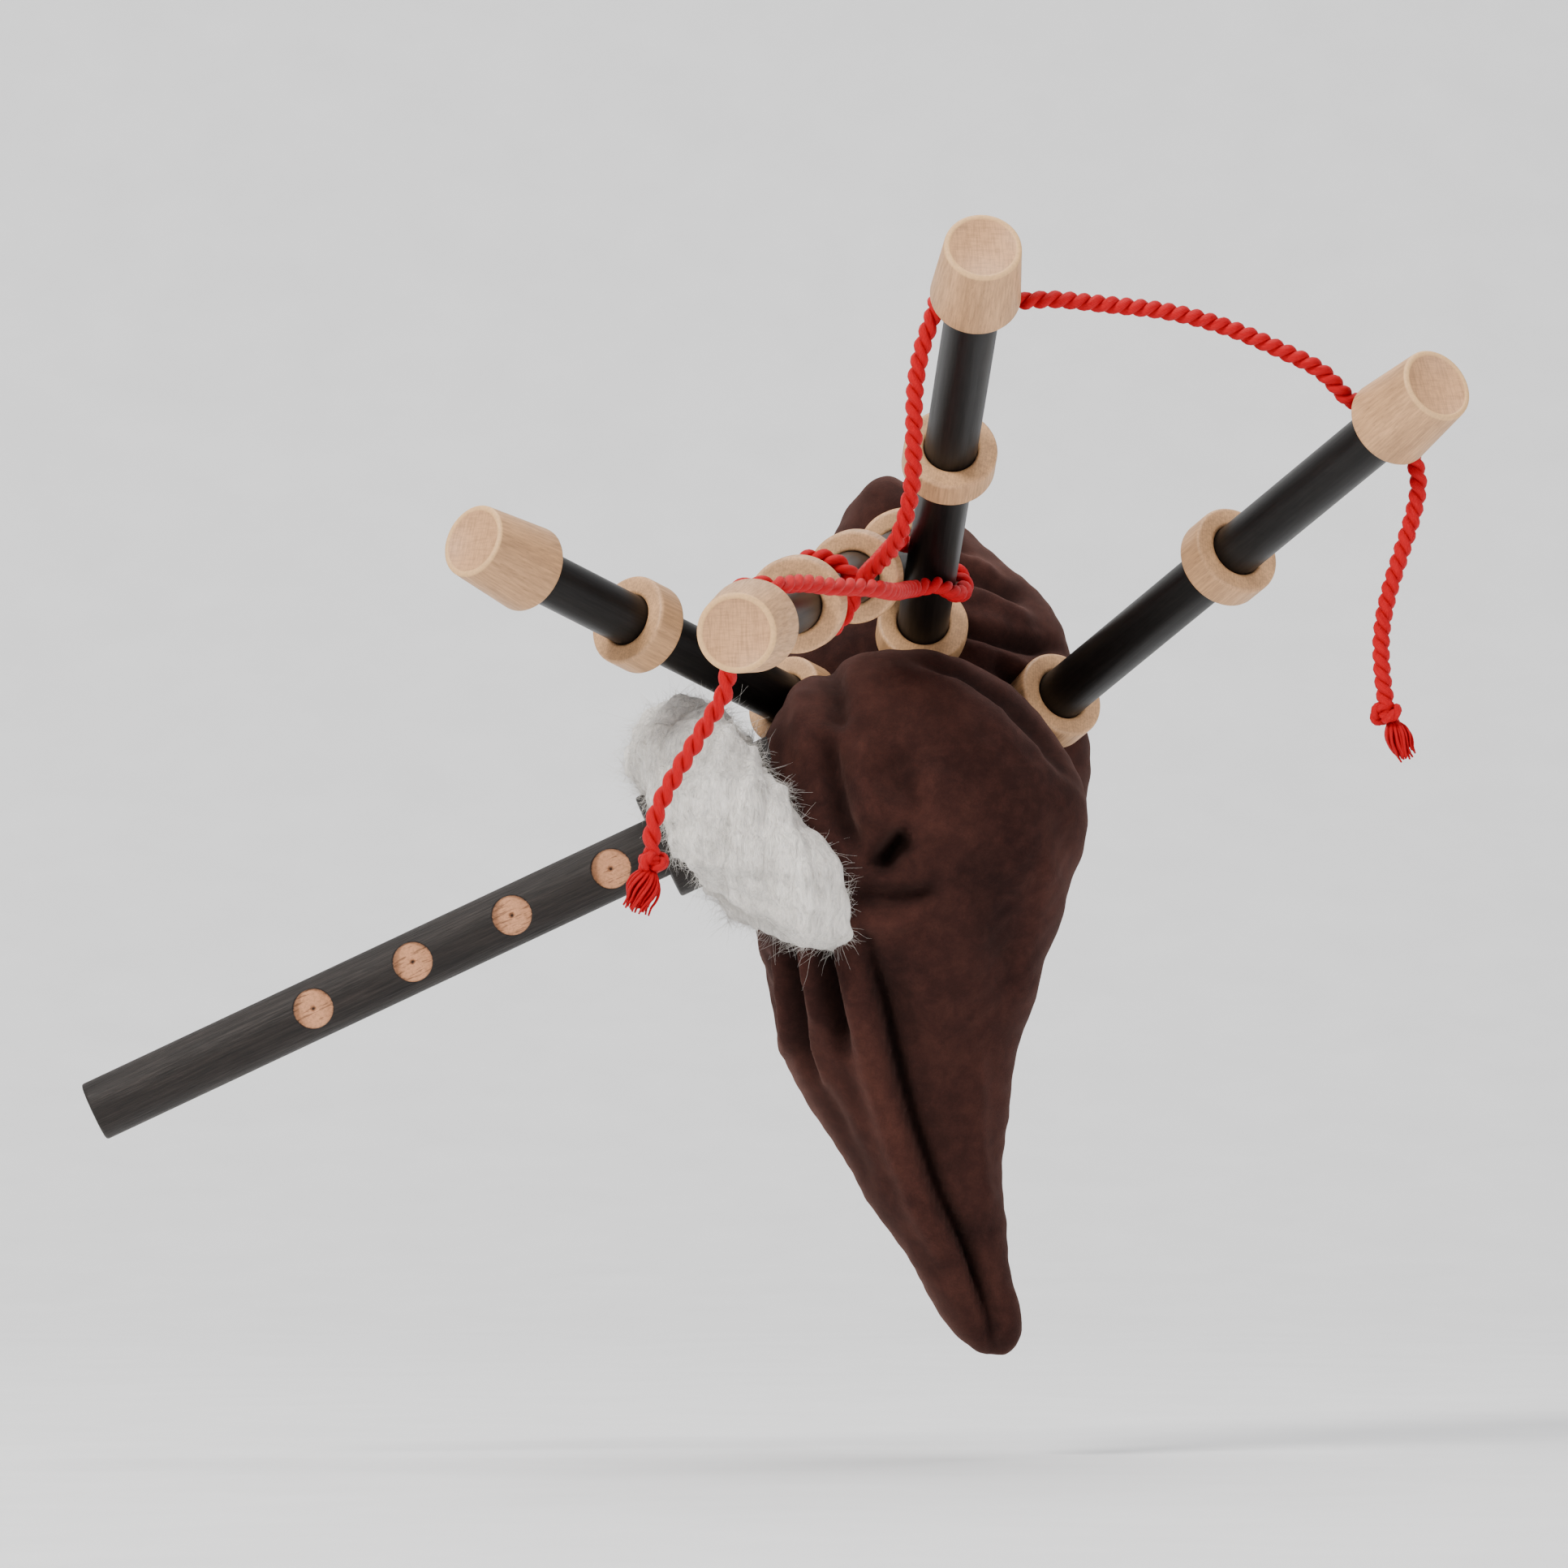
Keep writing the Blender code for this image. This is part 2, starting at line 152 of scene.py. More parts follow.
def new_object(name, data):
    found = bpy.data.objects.new(name, data)
    bpy.context.scene.collection.objects.link(found)
    return found


def add_attribute(mesh, name, values):
    """Stores one number, or three, for each vertex."""
    values = np.asarray(values, np.float32)
    kind, field = ("FLOAT", "value") if values.ndim == 1 else ("FLOAT_VECTOR", "vector")
    mesh.attributes.new(name, kind, "POINT").data.foreach_set(field, values.ravel())


def grid_faces(rows, cols, wrap_rows, wrap_cols, start=0):
    """Quads of a grid of points; a wrapped way joins its last line to its first."""
    r = np.arange(rows if wrap_rows else rows - 1)
    c = np.arange(cols if wrap_cols else cols - 1)
    r, c = np.meshgrid(r, c, indexing="ij")
    n, k = (r + 1) % rows, (c + 1) % cols
    quads = np.stack((r * cols + c, r * cols + k, n * cols + k, n * cols + c), axis=-1)
    return quads.reshape(-1, 4) + start


def face_list(faces):
    return [tuple(f) for f in faces.tolist()]


def closed_grid(points, wrap_rows=False):
    """A grid of rings (rows, around, 3) as points and faces; open ends get a centre point and a fan."""
    rows, cols = points.shape[:2]
    verts = points.reshape(-1, 3)
    faces = face_list(grid_faces(rows, cols, wrap_rows, True))
    if not wrap_rows:
        ends = np.array((points[0].mean(axis=0), points[-1].mean(axis=0)))
        first, last = len(verts), len(verts) + 1
        verts = np.vstack((verts, ends))
        ring = np.arange(cols)
        after = (ring + 1) % cols
        faces += [(first, b, a) for a, b in zip(ring.tolist(), after.tolist())]
        base = (rows - 1) * cols
        faces += [(last, base + a, base + b) for a, b in zip(ring.tolist(), after.tolist())]
    return verts, faces


def join_parts(parts):
    """Several (points, faces) as one."""
    verts, faces, at = [], [], 0
    for v, f in parts:
        verts.append(v)
        faces += [tuple(i + at for i in face) for face in f]
        at += len(v)
    return np.vstack(verts), faces


def shade_smooth(mesh):
    mesh.polygons.foreach_set("use_smooth", np.ones(len(mesh.polygons), bool))


def new_mesh_object(name, verts, faces):
    """A smooth-shaded object; its points are in metres."""
    mesh = bpy.data.meshes.new(name)
    mesh.from_pydata(np.asarray(verts, float).tolist(), [], faces)
    mesh.update()
    shade_smooth(mesh)
    return new_object(name, mesh)


def new_piece(name, verts, faces):
    """A piece whose points are in millimetres of the drawing frame."""
    return new_mesh_object(name, place(verts), faces)


def signed_volume(verts, faces):
    tri = np.array([(f[0], f[i], f[i + 1]) for f in faces for i in range(1, len(f) - 1)])
    a, b, c = verts[tri[:, 0]], verts[tri[:, 1]], verts[tri[:, 2]]
    return float((a * np.cross(b, c)).sum() / 6)


def outward(verts, faces):
    """Turns every face over where the closed shape is inside out."""
    if signed_volume(verts, faces) < 0:
        faces = [tuple(reversed(f)) for f in faces]
    return faces


def eased(profile, radius=0.25, steps=3):
    """Each inner corner of an open profile becomes a short arc with a holding point on either side."""
    p = np.asarray(profile, float)
    out = [p[:1]]
    for before, corner, after in zip(p, p[1:], p[2:]):
        a, b = before - corner, after - corner
        la, lb = np.linalg.norm(a), np.linalg.norm(b)
        cut = min(radius, 0.4 * la, 0.4 * lb)
        a, b = a / la, b / lb
        t = np.linspace(0, 1, steps + 1)[:, None]
        arc = (1 - t) ** 2 * (corner + a * cut) + 2 * t * (1 - t) * corner + t**2 * (corner + b * cut)
        hold = min(cut * 1.5, 0.48 * la), min(cut * 1.5, 0.48 * lb)
        out += [[corner + a * hold[0]], arc, [corner + b * hold[1]]]
    out.append(p[-1:])
    return np.vstack([np.atleast_2d(x) for x in out])


def turned(name, profile, point, direction, ring=False, around=72, end=None):
    """A turned piece: at angle a and profile point (r, h) the surface is the start plus h along the
    axis plus r times (cos a, sin a) across it. A ring's outline is closed, and any other starts and
    stops on the axis. Its own coordinates go with it for the grain, and above the end's height the
    points are marked as rim or as disc, outside or inside the end's radius."""
    p = np.asarray(profile, float)
    a = np.linspace(0, math.tau, around, endpoint=False)
    r, h = p[:, :1], p[:, 1:]
    local = np.stack((r * np.cos(a), r * np.sin(a), np.broadcast_to(h, (len(p), around))), axis=-1)
    verts, faces = closed_grid(local if ring else local[1:-1], wrap_rows=ring)
    if not ring:
        verts[-2] = (0, 0, p[0, 1])
        verts[-1] = (0, 0, p[-1, 1])
    piece = new_piece(name, np.asarray(point, float) + verts @ axes_of(direction), outward(verts, faces))
    shift = np.array((sum(map(ord, name)) % 17, len(name) * 3.0, 0.0))
    add_attribute(piece.data, "grain", verts + shift)
    if end:
        low, inner = end
        radius = np.hypot(verts[:, 0], verts[:, 1])
        top = verts[:, 2] > low
        # The rim mark is where the cap's end gets its painted highlight.
        add_attribute(piece.data, "edge", (top & (radius > inner)) * 1.0)
        add_attribute(piece.data, "disc", (top & (radius <= inner)) * 1.0)
    return piece


# Materials

class Nodes:
    """Short calls for building one material."""

    def __init__(self, name, base, roughness, **sockets):
        self.mat = bpy.data.materials.new(name)
        self.mat.use_nodes = True
        self.tree = self.mat.node_tree
        self.shader = self.tree.nodes["Principled BSDF"]
        self.shader.inputs["Base Color"].default_value = (*base, 1.0)
        self.shader.inputs["Roughness"].default_value = roughness
        for key, value in sockets.items():
            self.shader.inputs[key.replace("_", " ")].default_value = value

    def add(self, kind, **values):
        node = self.tree.nodes.new(kind)
        for key, value in values.items():
            setattr(node, key, value)
        return node

    def link(self, a, b):
        self.tree.links.new(a, b)

    def coords(self, attribute=None, scale=(1, 1, 1), turn=(0, 0, 0)):
        mapping = self.add("ShaderNodeMapping")
        mapping.inputs["Scale"].default_value = scale
        mapping.inputs["Rotation"].default_value = turn
        if attribute == "uv":
            source = self.add("ShaderNodeUVMap").outputs["UV"]
        elif attribute:
            source = self.add("ShaderNodeAttribute", attribute_name=attribute).outputs["Vector"]
        else:
            source = self.add("ShaderNodeTexCoord").outputs["Object"]
        self.link(source, mapping.inputs["Vector"])
        return mapping.outputs["Vector"]

    def value(self, attribute):
        return self.add("ShaderNodeAttribute", attribute_name=attribute).outputs["Fac"]

    def noise(self, vector, scale, detail=4.0, rough=0.55, distort=0.0):
        node = self.add("ShaderNodeTexNoise")
        self.link(vector, node.inputs["Vector"])
        values = {"Scale": scale, "Detail": detail, "Roughness": rough, "Distortion": distort}
        for key, value in values.items():
            node.inputs[key].default_value = value
        return node.outputs["Fac"]

    def wave(self, vector, scale, distort):
        node = self.add("ShaderNodeTexWave")
        self.link(vector, node.inputs["Vector"])
        node.inputs["Scale"].default_value = scale
        node.inputs["Distortion"].default_value = distort
        node.inputs["Detail"].default_value = 3.0
        return node.outputs["Fac"]

    def ramp(self, fac, stops):
        node = self.add("ShaderNodeValToRGB")
        while len(node.color_ramp.elements) < len(stops):
            node.color_ramp.elements.new(0.5)
        for element, (at, value) in zip(node.color_ramp.elements, stops):
            element.position = at
            element.color = (*value, 1.0) if len(np.shape(value)) else (value, value, value, 1.0)
        self.link(fac, node.inputs["Fac"])
        return node.outputs["Color"]

    def mix(self, fac, a, b, blend="MIX"):
        node = self.add("ShaderNodeMix", data_type="RGBA", blend_type=blend)
        for value, key in ((fac, 0), (a, 6), (b, 7)):
            if isinstance(value, (int, float)):
                node.inputs[key].default_value = value
            elif isinstance(value, tuple):
                node.inputs[key].default_value = (*value, 1.0)
            else:
                self.link(value, node.inputs[key])
        return node.outputs[2]

    def tint(self, fac, base, source, stops):
        """The base multiplied by a ramp of the source, as much as the factor says."""
        return self.mix(fac, base, self.ramp(source, stops), "MULTIPLY")

    def finish(self, colour, roughness=None, height=None, strength=0.3, distance=0.0001):
        self.link(colour, self.shader.inputs["Base Color"])
        if roughness is not None:
            self.link(roughness, self.shader.inputs["Roughness"])
        if height is not None:
            bump = self.add("ShaderNodeBump")
            bump.inputs["Strength"].default_value = strength
            bump.inputs["Distance"].default_value = distance
            self.link(height, bump.inputs["Height"])
            self.link(bump.outputs["Normal"], self.shader.inputs["Normal"])
        return self.mat


def shade(value, factor):
    return tuple(min(1.0, v * factor) for v in value)


RIM_HIGHLIGHT = (0.74, 0.43, 0.19)  # painted highlight: the rim of a cap's end is painted lighter than the beech, as light falls on it


def beech_material(base):
    n = Nodes("turned_beech", base, 0.5)
    along = n.coords("grain", (1.0, 1.0, 0.07))
    broad = n.noise(along, 0.45, 3.0, 0.5, 0.6)
    fine = n.noise(along, 3.2, 5.0, 0.6)
    pores = n.noise(n.coords("grain", (1.0, 1.0, 0.12)), 7.5, 2.0, 0.5)
    rays = n.wave(n.coords("grain", (1.0, 0.35, 0.1), (0, 0, 0.5)), 1.1, 5.0)
    col = n.ramp(broad, ((0.3, shade(base, 0.84)), (0.7, shade(base, 1.14))))
    col = n.tint(1.0, col, fine, ((0.3, 0.72), (0.62, 1.05)))
    col = n.tint(0.8, col, rays, ((0.0, 0.93), (1.0, 1.05)))
    col = n.tint(0.6, col, pores, ((0.30, 0.62), (0.42, 1.0)))
    one = n.noise(n.coords("grain", (1.0, 0.10, 1.0)), 5.0, 3.0, 0.6)
    other = n.noise(n.coords("grain", (0.14, 1.0, 1.0)), 4.2, 3.0, 0.6)
    hatch = n.tint(1.0, n.ramp(one, ((0.36, 0.80), (0.56, 1.04))), other, ((0.36, 0.86), (0.56, 1.04)))
    end_grain = n.mix(1.0, (base[0], base[1] * 0.96, base[2] * 0.97), hatch, "MULTIPLY")
    col = n.mix(n.value("disc"), col, end_grain)
    # Painted highlight: the rim of a cap's end is painted a lighter beech, as light catches it.
    rim = n.tint(1.0, RIM_HIGHLIGHT, fine, ((0.3, 0.86), (0.65, 1.05)))
    col = n.mix(n.value("edge"), col, rim)
    rough = n.ramp(fine, ((0.3, 0.62), (0.7, 0.46)))
    return n.finish(col, rough, pores, 0.35, 0.00008)


def black_material(base):
    n = Nodes("black_stained_dowel", base, 0.38, Specular_IOR_Level=0.22)
    along = n.coords("grain", (1.0, 1.0, 0.05))
    fine = n.noise(along, 4.0, 5.0, 0.6)
    broad = n.noise(along, 0.6, 2.0, 0.5)
    col = n.ramp(fine, ((0.35, shade(base, 0.6)), (0.72, shade(base, 2.3))))
    rough = n.ramp(broad, ((0.3, 0.36), (0.7, 0.48)))
    return n.finish(col, rough, fine, 0.22, 0.00006)


def chanter_material(base, bare):
    n = Nodes("brown_black_stain", base, 0.6, Specular_IOR_Level=0.3)
    along = n.coords("grain", (1.0, 1.0, 0.045))
    fine = n.noise(along, 3.6, 6.0, 0.65)
    broad = n.noise(along, 0.8, 3.0, 0.5, 0.4)
    pores = n.noise(n.coords("grain", (1.0, 1.0, 0.035)), 9.0, 2.0, 0.5)
    col = n.ramp(fine, ((0.3, shade(base, 0.45)), (0.55, base), (0.75, shade(base, 1.75))))
    col = n.tint(0.6, col, broad, ((0.3, 0.6), (0.7, 1.25)))
    col = n.tint(0.7, col, pores, ((0.33, 0.35), (0.45, 1.0)))
    floor = n.noise(n.coords("grain", (0.25, 1.0, 1.0)), 3.0, 4.0, 0.6)
    lines = n.noise(n.coords("grain", (1.0, 1.4, 0.16), (0.9, 0, 0)), 2.6, 3.0, 0.6)
    pale = n.ramp(floor, ((0.3, shade(bare, 0.75)), (0.5, bare), (0.7, shade(bare, 1.15))))
    pale = n.tint(0.8, pale, lines, ((0.37, 0.35), (0.43, 1.0)))
    # Bare wood on the hole floors. The stain colour is left in a painted shadow ring by each wall and a
    # painted shade spot in each centre dimple.
    col = n.mix(n.value("bare"), col, pale)
    rough = n.ramp(fine, ((0.3, 0.68), (0.7, 0.5)))
    return n.finish(col, rough, pores, 0.6, 0.00012)


def velvet_material(pile, brushed):
    sheen = {"Sheen_Weight": 0.16, "Sheen_Roughness": 0.4, "Sheen_Tint": (0.60, 0.30, 0.24, 1.0)}
    n = Nodes("brown_velvet", pile, 0.95, Specular_IOR_Level=0.15, **sheen)
    vector = n.coords()
    broad = n.noise(vector, 80.0, 3.0, 0.6, 0.4)
    patch = n.noise(vector, 420.0, 6.0, 0.72, 0.3)
    nap = n.noise(vector, 5200.0, 3.0, 0.7)
    lay = n.ramp(broad, ((0.36, 0.0), (0.68, 1.0)))
    spots = n.ramp(patch, ((0.42, 0.0), (0.66, 1.0)))
    col = n.mix(n.mix(0.45, lay, spots), pile, brushed)
    col = n.tint(0.4, col, nap, ((0.25, 0.55), (0.75, 1.4)))
    # Painted shade and highlight: the fold heights darken the velvet in the valleys and lighten it on the
    # ridges.
    col = n.tint(1.0, col, n.value("fold_shading"), ((0.0, 0.3), (0.38, 0.72), (0.5, 1.0), (0.72, 1.3)))
    return n.finish(col, None, n.mix(0.35, nap, patch), 0.5, 0.00018)


def wool_material(base):
    glow = {"Subsurface_Weight": 0.1, "Subsurface_Radius": (0.001, 0.0009, 0.0007)}
    sheen = {"Sheen_Weight": 0.25, "Sheen_Roughness": 0.6}
    n = Nodes("fluffy_wool", base, 0.95, Specular_IOR_Level=0.1, **sheen, **glow)
    vector = n.coords()
    broad = n.noise(vector, 170.0, 4.0, 0.6)
    locks = n.noise(n.coords(None, (1.0, 1.0, 0.28), (0, 0.73, 0)), 900.0, 5.0, 0.65, 1.6)
    fine = n.noise(n.coords(None, (1.0, 1.0, 0.2), (0, 0.5, 0)), 3600.0, 3.0, 0.7, 0.8)
    col = n.ramp(broad, ((0.3, shade(base, 0.86)), (0.65, shade(base, 1.08))))
    col = n.tint(0.85, col, locks, ((0.32, 0.62), (0.5, 0.95), (0.68, 1.1)))
    col = n.tint(0.5, col, fine, ((0.3, 0.72), (0.6, 1.08)))
    return n.finish(col, None, n.mix(0.4, locks, fine), 1.0, 0.0007)


def cord_material(base):
    n = Nodes("twisted_cord", base, 0.5, Specular_IOR_Level=0.35, Specular_Tint=(1.0, 0.35, 0.3, 1.0))
    yarn = n.wave(n.coords("uv", (1.0, 1.0, 1.0), (0, 0, 0.5)), 2.6, 1.0)
    fuzz = n.noise(n.coords("uv", (3.0, 0.6, 1.0)), 4.0, 4.0, 0.6)
    col = n.ramp(yarn, ((0.0, shade(base, 0.62)), (0.6, base)))
    col = n.tint(0.5, col, fuzz, ((0.3, 0.7), (0.7, 1.15)))
    rough = n.ramp(fuzz, ((0.3, 0.6), (0.7, 0.45)))
    return n.finish(col, rough, yarn, 0.5, 0.00012)


def stage_material():
    n = Nodes("studio_paper", (0.86, 0.86, 0.86), 0.9)
    grain = n.noise(n.coords(), 60.0, 3.0)
    return n.finish(n.ramp(grain, ((0.3, 0.84), (0.7, 0.88))))


def material_for(key):
    """Makes each finish once, from the colours in the panel."""
    found = bpy.data.materials.get("made_" + key)
    if found:
        return found
    scene = bpy.context.scene
    pipes, chanter = scene.bagpipes_pipes, scene.bagpipes_chanter
    bag, cord = scene.bagpipes_bag, scene.bagpipes_cord
    made = {
        "beech": lambda: beech_material(tuple(pipes.wood)),
        "black": lambda: black_material(tuple(pipes.stain)),
        "chanter": lambda: chanter_material(tuple(chanter.stain), tuple(chanter.bare)),
        "velvet": lambda: velvet_material(tuple(bag.velvet), tuple(bag.brushed)),
        "wool": lambda: wool_material(tuple(bag.wool)),
        "cord": lambda: cord_material(tuple(cord.red)),
        "paper": stage_material,
    }[key]()
    made.name = "made_" + key
    return made


def settle(piece, body, key, *nodes):
    """Gives a piece its finish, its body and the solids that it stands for."""
    piece.data.materials.clear()
    piece.data.materials.append(material_for(key))
    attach(piece, body)
    if nodes:
        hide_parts(*nodes)
    return piece


# The turned pipes

def ring_profile(sizes, top):
    """Closed outline of a ring: flat faces, a round bore and softly rounded edges."""
    r, bore, low = sizes.ring / MM, sizes.tube / MM + RING_EASE, top - sizes.ring_length / MM
    arc = np.linspace(0, math.pi / 2, 5)
    e = 0.42  # radius of the rounded outer edges
    upper = np.stack((r - e + e * np.sin(arc), top - e + e * np.cos(arc)), axis=1)
    lower = np.stack((r - e + e * np.cos(arc), low + e - e * np.sin(arc)), axis=1)
    inner = [(bore, low + 0.25), (bore, low + 0.6), (bore, top - 0.6), (bore, top - 0.25)]
    flat_top = [(bore + 0.18, top), (bore + 0.5, top), (r - 0.8, top)]
    flat_low = [(r - 0.8, low), (bore + 0.5, low), (bore + 0.18, low)]
    return np.vstack((flat_top, upper, [(r, top - 0.8), (r, low + 0.8)], lower, flat_low, inner))


def dowel_profile(low, high, radius, pin=0.0, bore=0.0):
    """Outline of a dowel from its upper end down, with a pin above or a bore below if it has one."""
    p = [(0, high), (radius, high), (radius, low), (0, low)]
    if pin:
        p[:1] = [(0, high + pin), (PIN_RADIUS, high + pin), (PIN_RADIUS, high)]
    if bore:
        p[-1:] = [(PIN_BORE, low), (PIN_BORE, low + bore), (0, low + bore)]
    return eased(p, 0.16)


def cap_profile(sizes, base):
    """Outline of a tapered cap: a proud rim round a slightly sunk end, straight flanks, an eased base."""
    top, r = base + sizes.cap_length / MM, sizes.cap_top / MM
    end = [(0, top - 0.16), (r - 0.70, top - 0.16), (r - 0.58, top - 0.03), (r - 0.50, top)]
    rim = [(r - 0.32, top), (r - 0.13, top - 0.06), (r - 0.03, top - 0.18), (r + 0.01, top - 0.38)]
    wide = sizes.cap_base / MM
    foot = [(wide - 0.02, base + 0.5), (wide - 0.04, base + 0.25), (wide - 0.16, base + 0.06)]
    bore = sizes.tube / MM + RING_EASE
    under = [(wide - 0.4, base), (bore + 0.1, base), (bore, base + 0.15), (bore, base + 6.3), (0, base + 6.5)]
    return np.array(end + rim + foot + under)


def make_pipe(name):
    """A ring at the bag, then dowels with a ring on each but the last, which has the cap."""
    sizes = bpy.context.scene.bagpipes_pipes
    point, direction, lengths = PIPES[name]
    tube, half = sizes.tube / MM, sizes.ring_length / MM / 2
    ring = turned(name + "_stock_ring_turned", ring_profile(sizes, 0.0), point, direction, ring=True)
    settle(ring, "bag_group", "beech", name + "_stock_ring")
    socket = [(0, SOCKET_FLOOR), (SOCKET_IN, SOCKET_FLOOR), (SOCKET_IN, SOCKET_TOP)]
    socket += [(SOCKET_OUT, SOCKET_TOP), (SOCKET_OUT, SOCKET_BACK), (0, SOCKET_BACK)]
    stock = turned(name + "_socket_turned", eased(socket, 0.2), point, direction)
    settle(stock, "bag_group", "chanter", name + "_stock")
    low, outer = DOWEL_FOOT, 0.0
    titles = SECTIONS[len(lengths)]
    for i, (section, span) in enumerate(zip(titles, lengths)):
        outer += span
        body = name + "_" + section
        last = i == len(lengths) - 1
        pin = 0.0 if last else PIN_LEN[name]
        bore = PIN_LEN[name] + PIN_SPARE if i else 0.0
        high = outer + DOWEL_IN_CAP if last else outer - half - AIR
        outline = dowel_profile(low, high, tube, pin, bore)
        dowel = turned(body + "_dowel", outline, point, direction)
        settle(dowel, body, "black", body + "_tube")
        if last:
            end = (outer + sizes.cap_length / MM - 0.3, sizes.cap_top / MM - 0.6)
            shape = cap_profile(sizes, outer)
            cap = turned(body + "_cap_turned", shape, point, direction, around=96, end=end)
            node = "blowpipe_mouthpiece" if name == "blowpipe" else name + "_cap"
            settle(cap, body, "beech", node)
        else:
            ring = turned(body + "_ring_turned", ring_profile(sizes, outer), point, direction, ring=True)
            settle(ring, body, "beech", body + "_ring")
        low = high + AIR


# The chanter

CHANTER_END, CHANTER_TOP = -65.8, 18.0  # along the chanter from the top finger hole
END_STEPS = ((0.90, 0.58), (0.97, 0.5), (1.0, 0.3))  # share of the radius and overhang at an end
HOLES = 4
FINE_ANGLE = 0.80  # half angle of the finely divided side that has the holes
EDGE_BAND = 0.11  # beside a hole's edge, where points are drawn onto it
EDGE_GAP = 0.015
DIMPLE_RADIUS, DIMPLE_DEPTH = 0.42, 0.45
CHANTER_SOCKET = ((0, 18.3), (3.56, 18.3), (3.56, 6.0), (6.3, 6.0), (6.3, 30.0), (0, 30.0))


def make_chanter():
    """The chanter is a cylinder over (distance along, angle). Inside each hole's circle the surface
    drops to a flat floor with a small cone at its centre; the points beside the circle are drawn
    onto it so that the hole's edge is clean."""
    sizes = bpy.context.scene.bagpipes_chanter
    r, hole, pitch = sizes.radius / MM, sizes.hole / MM, sizes.pitch / MM
    axes = axes_of(CHANTER_DIR)
    front = math.atan2(*(axes[:2] @ np.array((0, -1, 0)))[::-1])
    near = np.linspace(-hole * 1.16, hole * 1.16, 45)
    clear = hole * 1.3
    along = [np.linspace(CHANTER_END + 0.6, -(HOLES - 1) * pitch - clear, 14)]
    for k in range(HOLES - 1, -1, -1):
        along.append(near - k * pitch)
        stop = -(k - 1) * pitch - clear if k else CHANTER_TOP - 0.6
        along.append(np.linspace(-k * pitch + clear, stop, 12 if k else 8))
    fine = np.linspace(-FINE_ANGLE, FINE_ANGLE, 61)
    coarse = np.linspace(FINE_ANGLE, math.tau - FINE_ANGLE, 30)[1:-1]
    around = np.concatenate((fine, coarse))
    h, a = np.meshgrid(np.concatenate(along), around, indexing="ij")
    side, out = r * np.sin(a), r * np.cos(a)
    bare = np.zeros_like(h)
    for k in range(HOLES):
        dh, ds = h + k * pitch, side
        rho = np.hypot(dh, ds)
        open_side = np.cos(a) > 0
        inside = (rho < hole) & open_side
        pull = np.where((rho >= hole - EDGE_BAND) & inside, (hole - EDGE_GAP) / np.maximum(rho, 1e-6), 1.0)
        push = (rho >= hole) & (rho < hole + EDGE_BAND) & open_side
        pull = np.where(push, (hole + EDGE_GAP) / np.maximum(rho, 1e-6), pull)
        h = np.where(inside | push, -k * pitch + dh * pull, h)
        side = np.where(inside | push, ds * pull, side)
        out = np.where(push, np.sqrt(np.maximum(r * r - side**2, 0)), out)
        cone = DIMPLE_DEPTH * np.clip(1 - rho / DIMPLE_RADIUS, 0, 1)
        floor = r - sizes.depth / MM - cone
        out = np.where(inside, np.minimum(floor, np.sqrt(np.maximum(r * r - side**2, 0)) - 0.12), out)
        # Bare wood shows on each hole's floor. A thin ring by the hole's wall and a spot at the centre keep
        # the dark stain: painted shadow in the gap round the floor and painted shade in the centre dimple.
        shown = np.clip((hole - 0.02 - rho) / 0.12, 0, 1) * (1 - 0.9 * np.clip(1.6 - rho / 0.22, 0, 1))
        bare = np.where(inside, shown, bare)
    ca, sa = math.cos(front), math.sin(front)
    local = np.stack((out * ca - side * sa, out * sa + side * ca, h), axis=-1)
    low_end = [local[0] * (s, s, 1) + (0, 0, -d) for s, d in END_STEPS]
    high_end = [local[-1] * (s, s, 1) + (0, 0, d) for s, d in reversed(END_STEPS)]
    verts, faces = closed_grid(np.concatenate((low_end, local, high_end)))
    piece = new_piece("chanter_turned", TOP_HOLE + verts @ axes, outward(verts, faces))
    add_attribute(piece.data, "grain", verts @ np.array(((ca, -sa, 0), (sa, ca, 0), (0, 0, 1.0))))
    marks = np.zeros(len(verts))
    skipped = len(END_STEPS) * len(around)
    marks[skipped:skipped + bare.size] = bare.ravel()
    add_attribute(piece.data, "bare", marks)
    settle(piece, "chanter", "chanter", "chanter")
    stock = turned("chanter_stock_turned", eased(CHANTER_SOCKET, 0.35), TOP_HOLE, CHANTER_DIR)
    settle(stock, "bag_group", "chanter", "chanter_stock")


# The bag

# Edges of the two lobes as (height, x), and depths as (height, middle y, half depth), from the top down.
FRONT_LEFT = ((47.3, 35.0), (46.6, 31.0), (44.9, 26.4), (42.4, 22.2), (38.4, 19.9), (32.6, 18.4))
FRONT_LEFT += ((26.9, 18.1), (19.9, 18.5), (13.0, 18.5), (7.2, 19.4), (1.4, 21.3), (-4.4, 24.1))
FRONT_LEFT += ((-10.2, 27.8), (-16.0, 31.5), (-21.8, 35.2), (-27.5, 38.2), (-31.9, 41.2), (-34.9, 45.5))
FRONT_RIGHT = ((47.3, 38.5), (46.3, 43.0), (43.0, 47.7), (38.2, 52.3), (33.3, 55.6), (29.2, 57.2))
FRONT_RIGHT += ((24.1, 56.2), (18.8, 54.4), (14.1, 52.9), (9.5, 51.2), (4.9, 49.8), (-2.1, 48.2))
FRONT_RIGHT += ((-9.7, 47.3), (-17.1, 47.2), (-25.2, 48.2), (-30.1, 49.4), (-32.9, 49.8), (-34.9, 47.7))
FRONT_DEPTH = ((47.3, -8.5, 1.2), (46.2, -8.5, 5.0), (43.0, -8.5, 9.5), (38.0, -8.8, 13.0))
FRONT_DEPTH += ((30.0, -8.8, 15.8), (20.0, -8.0, 15.6), (10.0, -6.5, 13.6), (0.0, -5.0, 11.0))
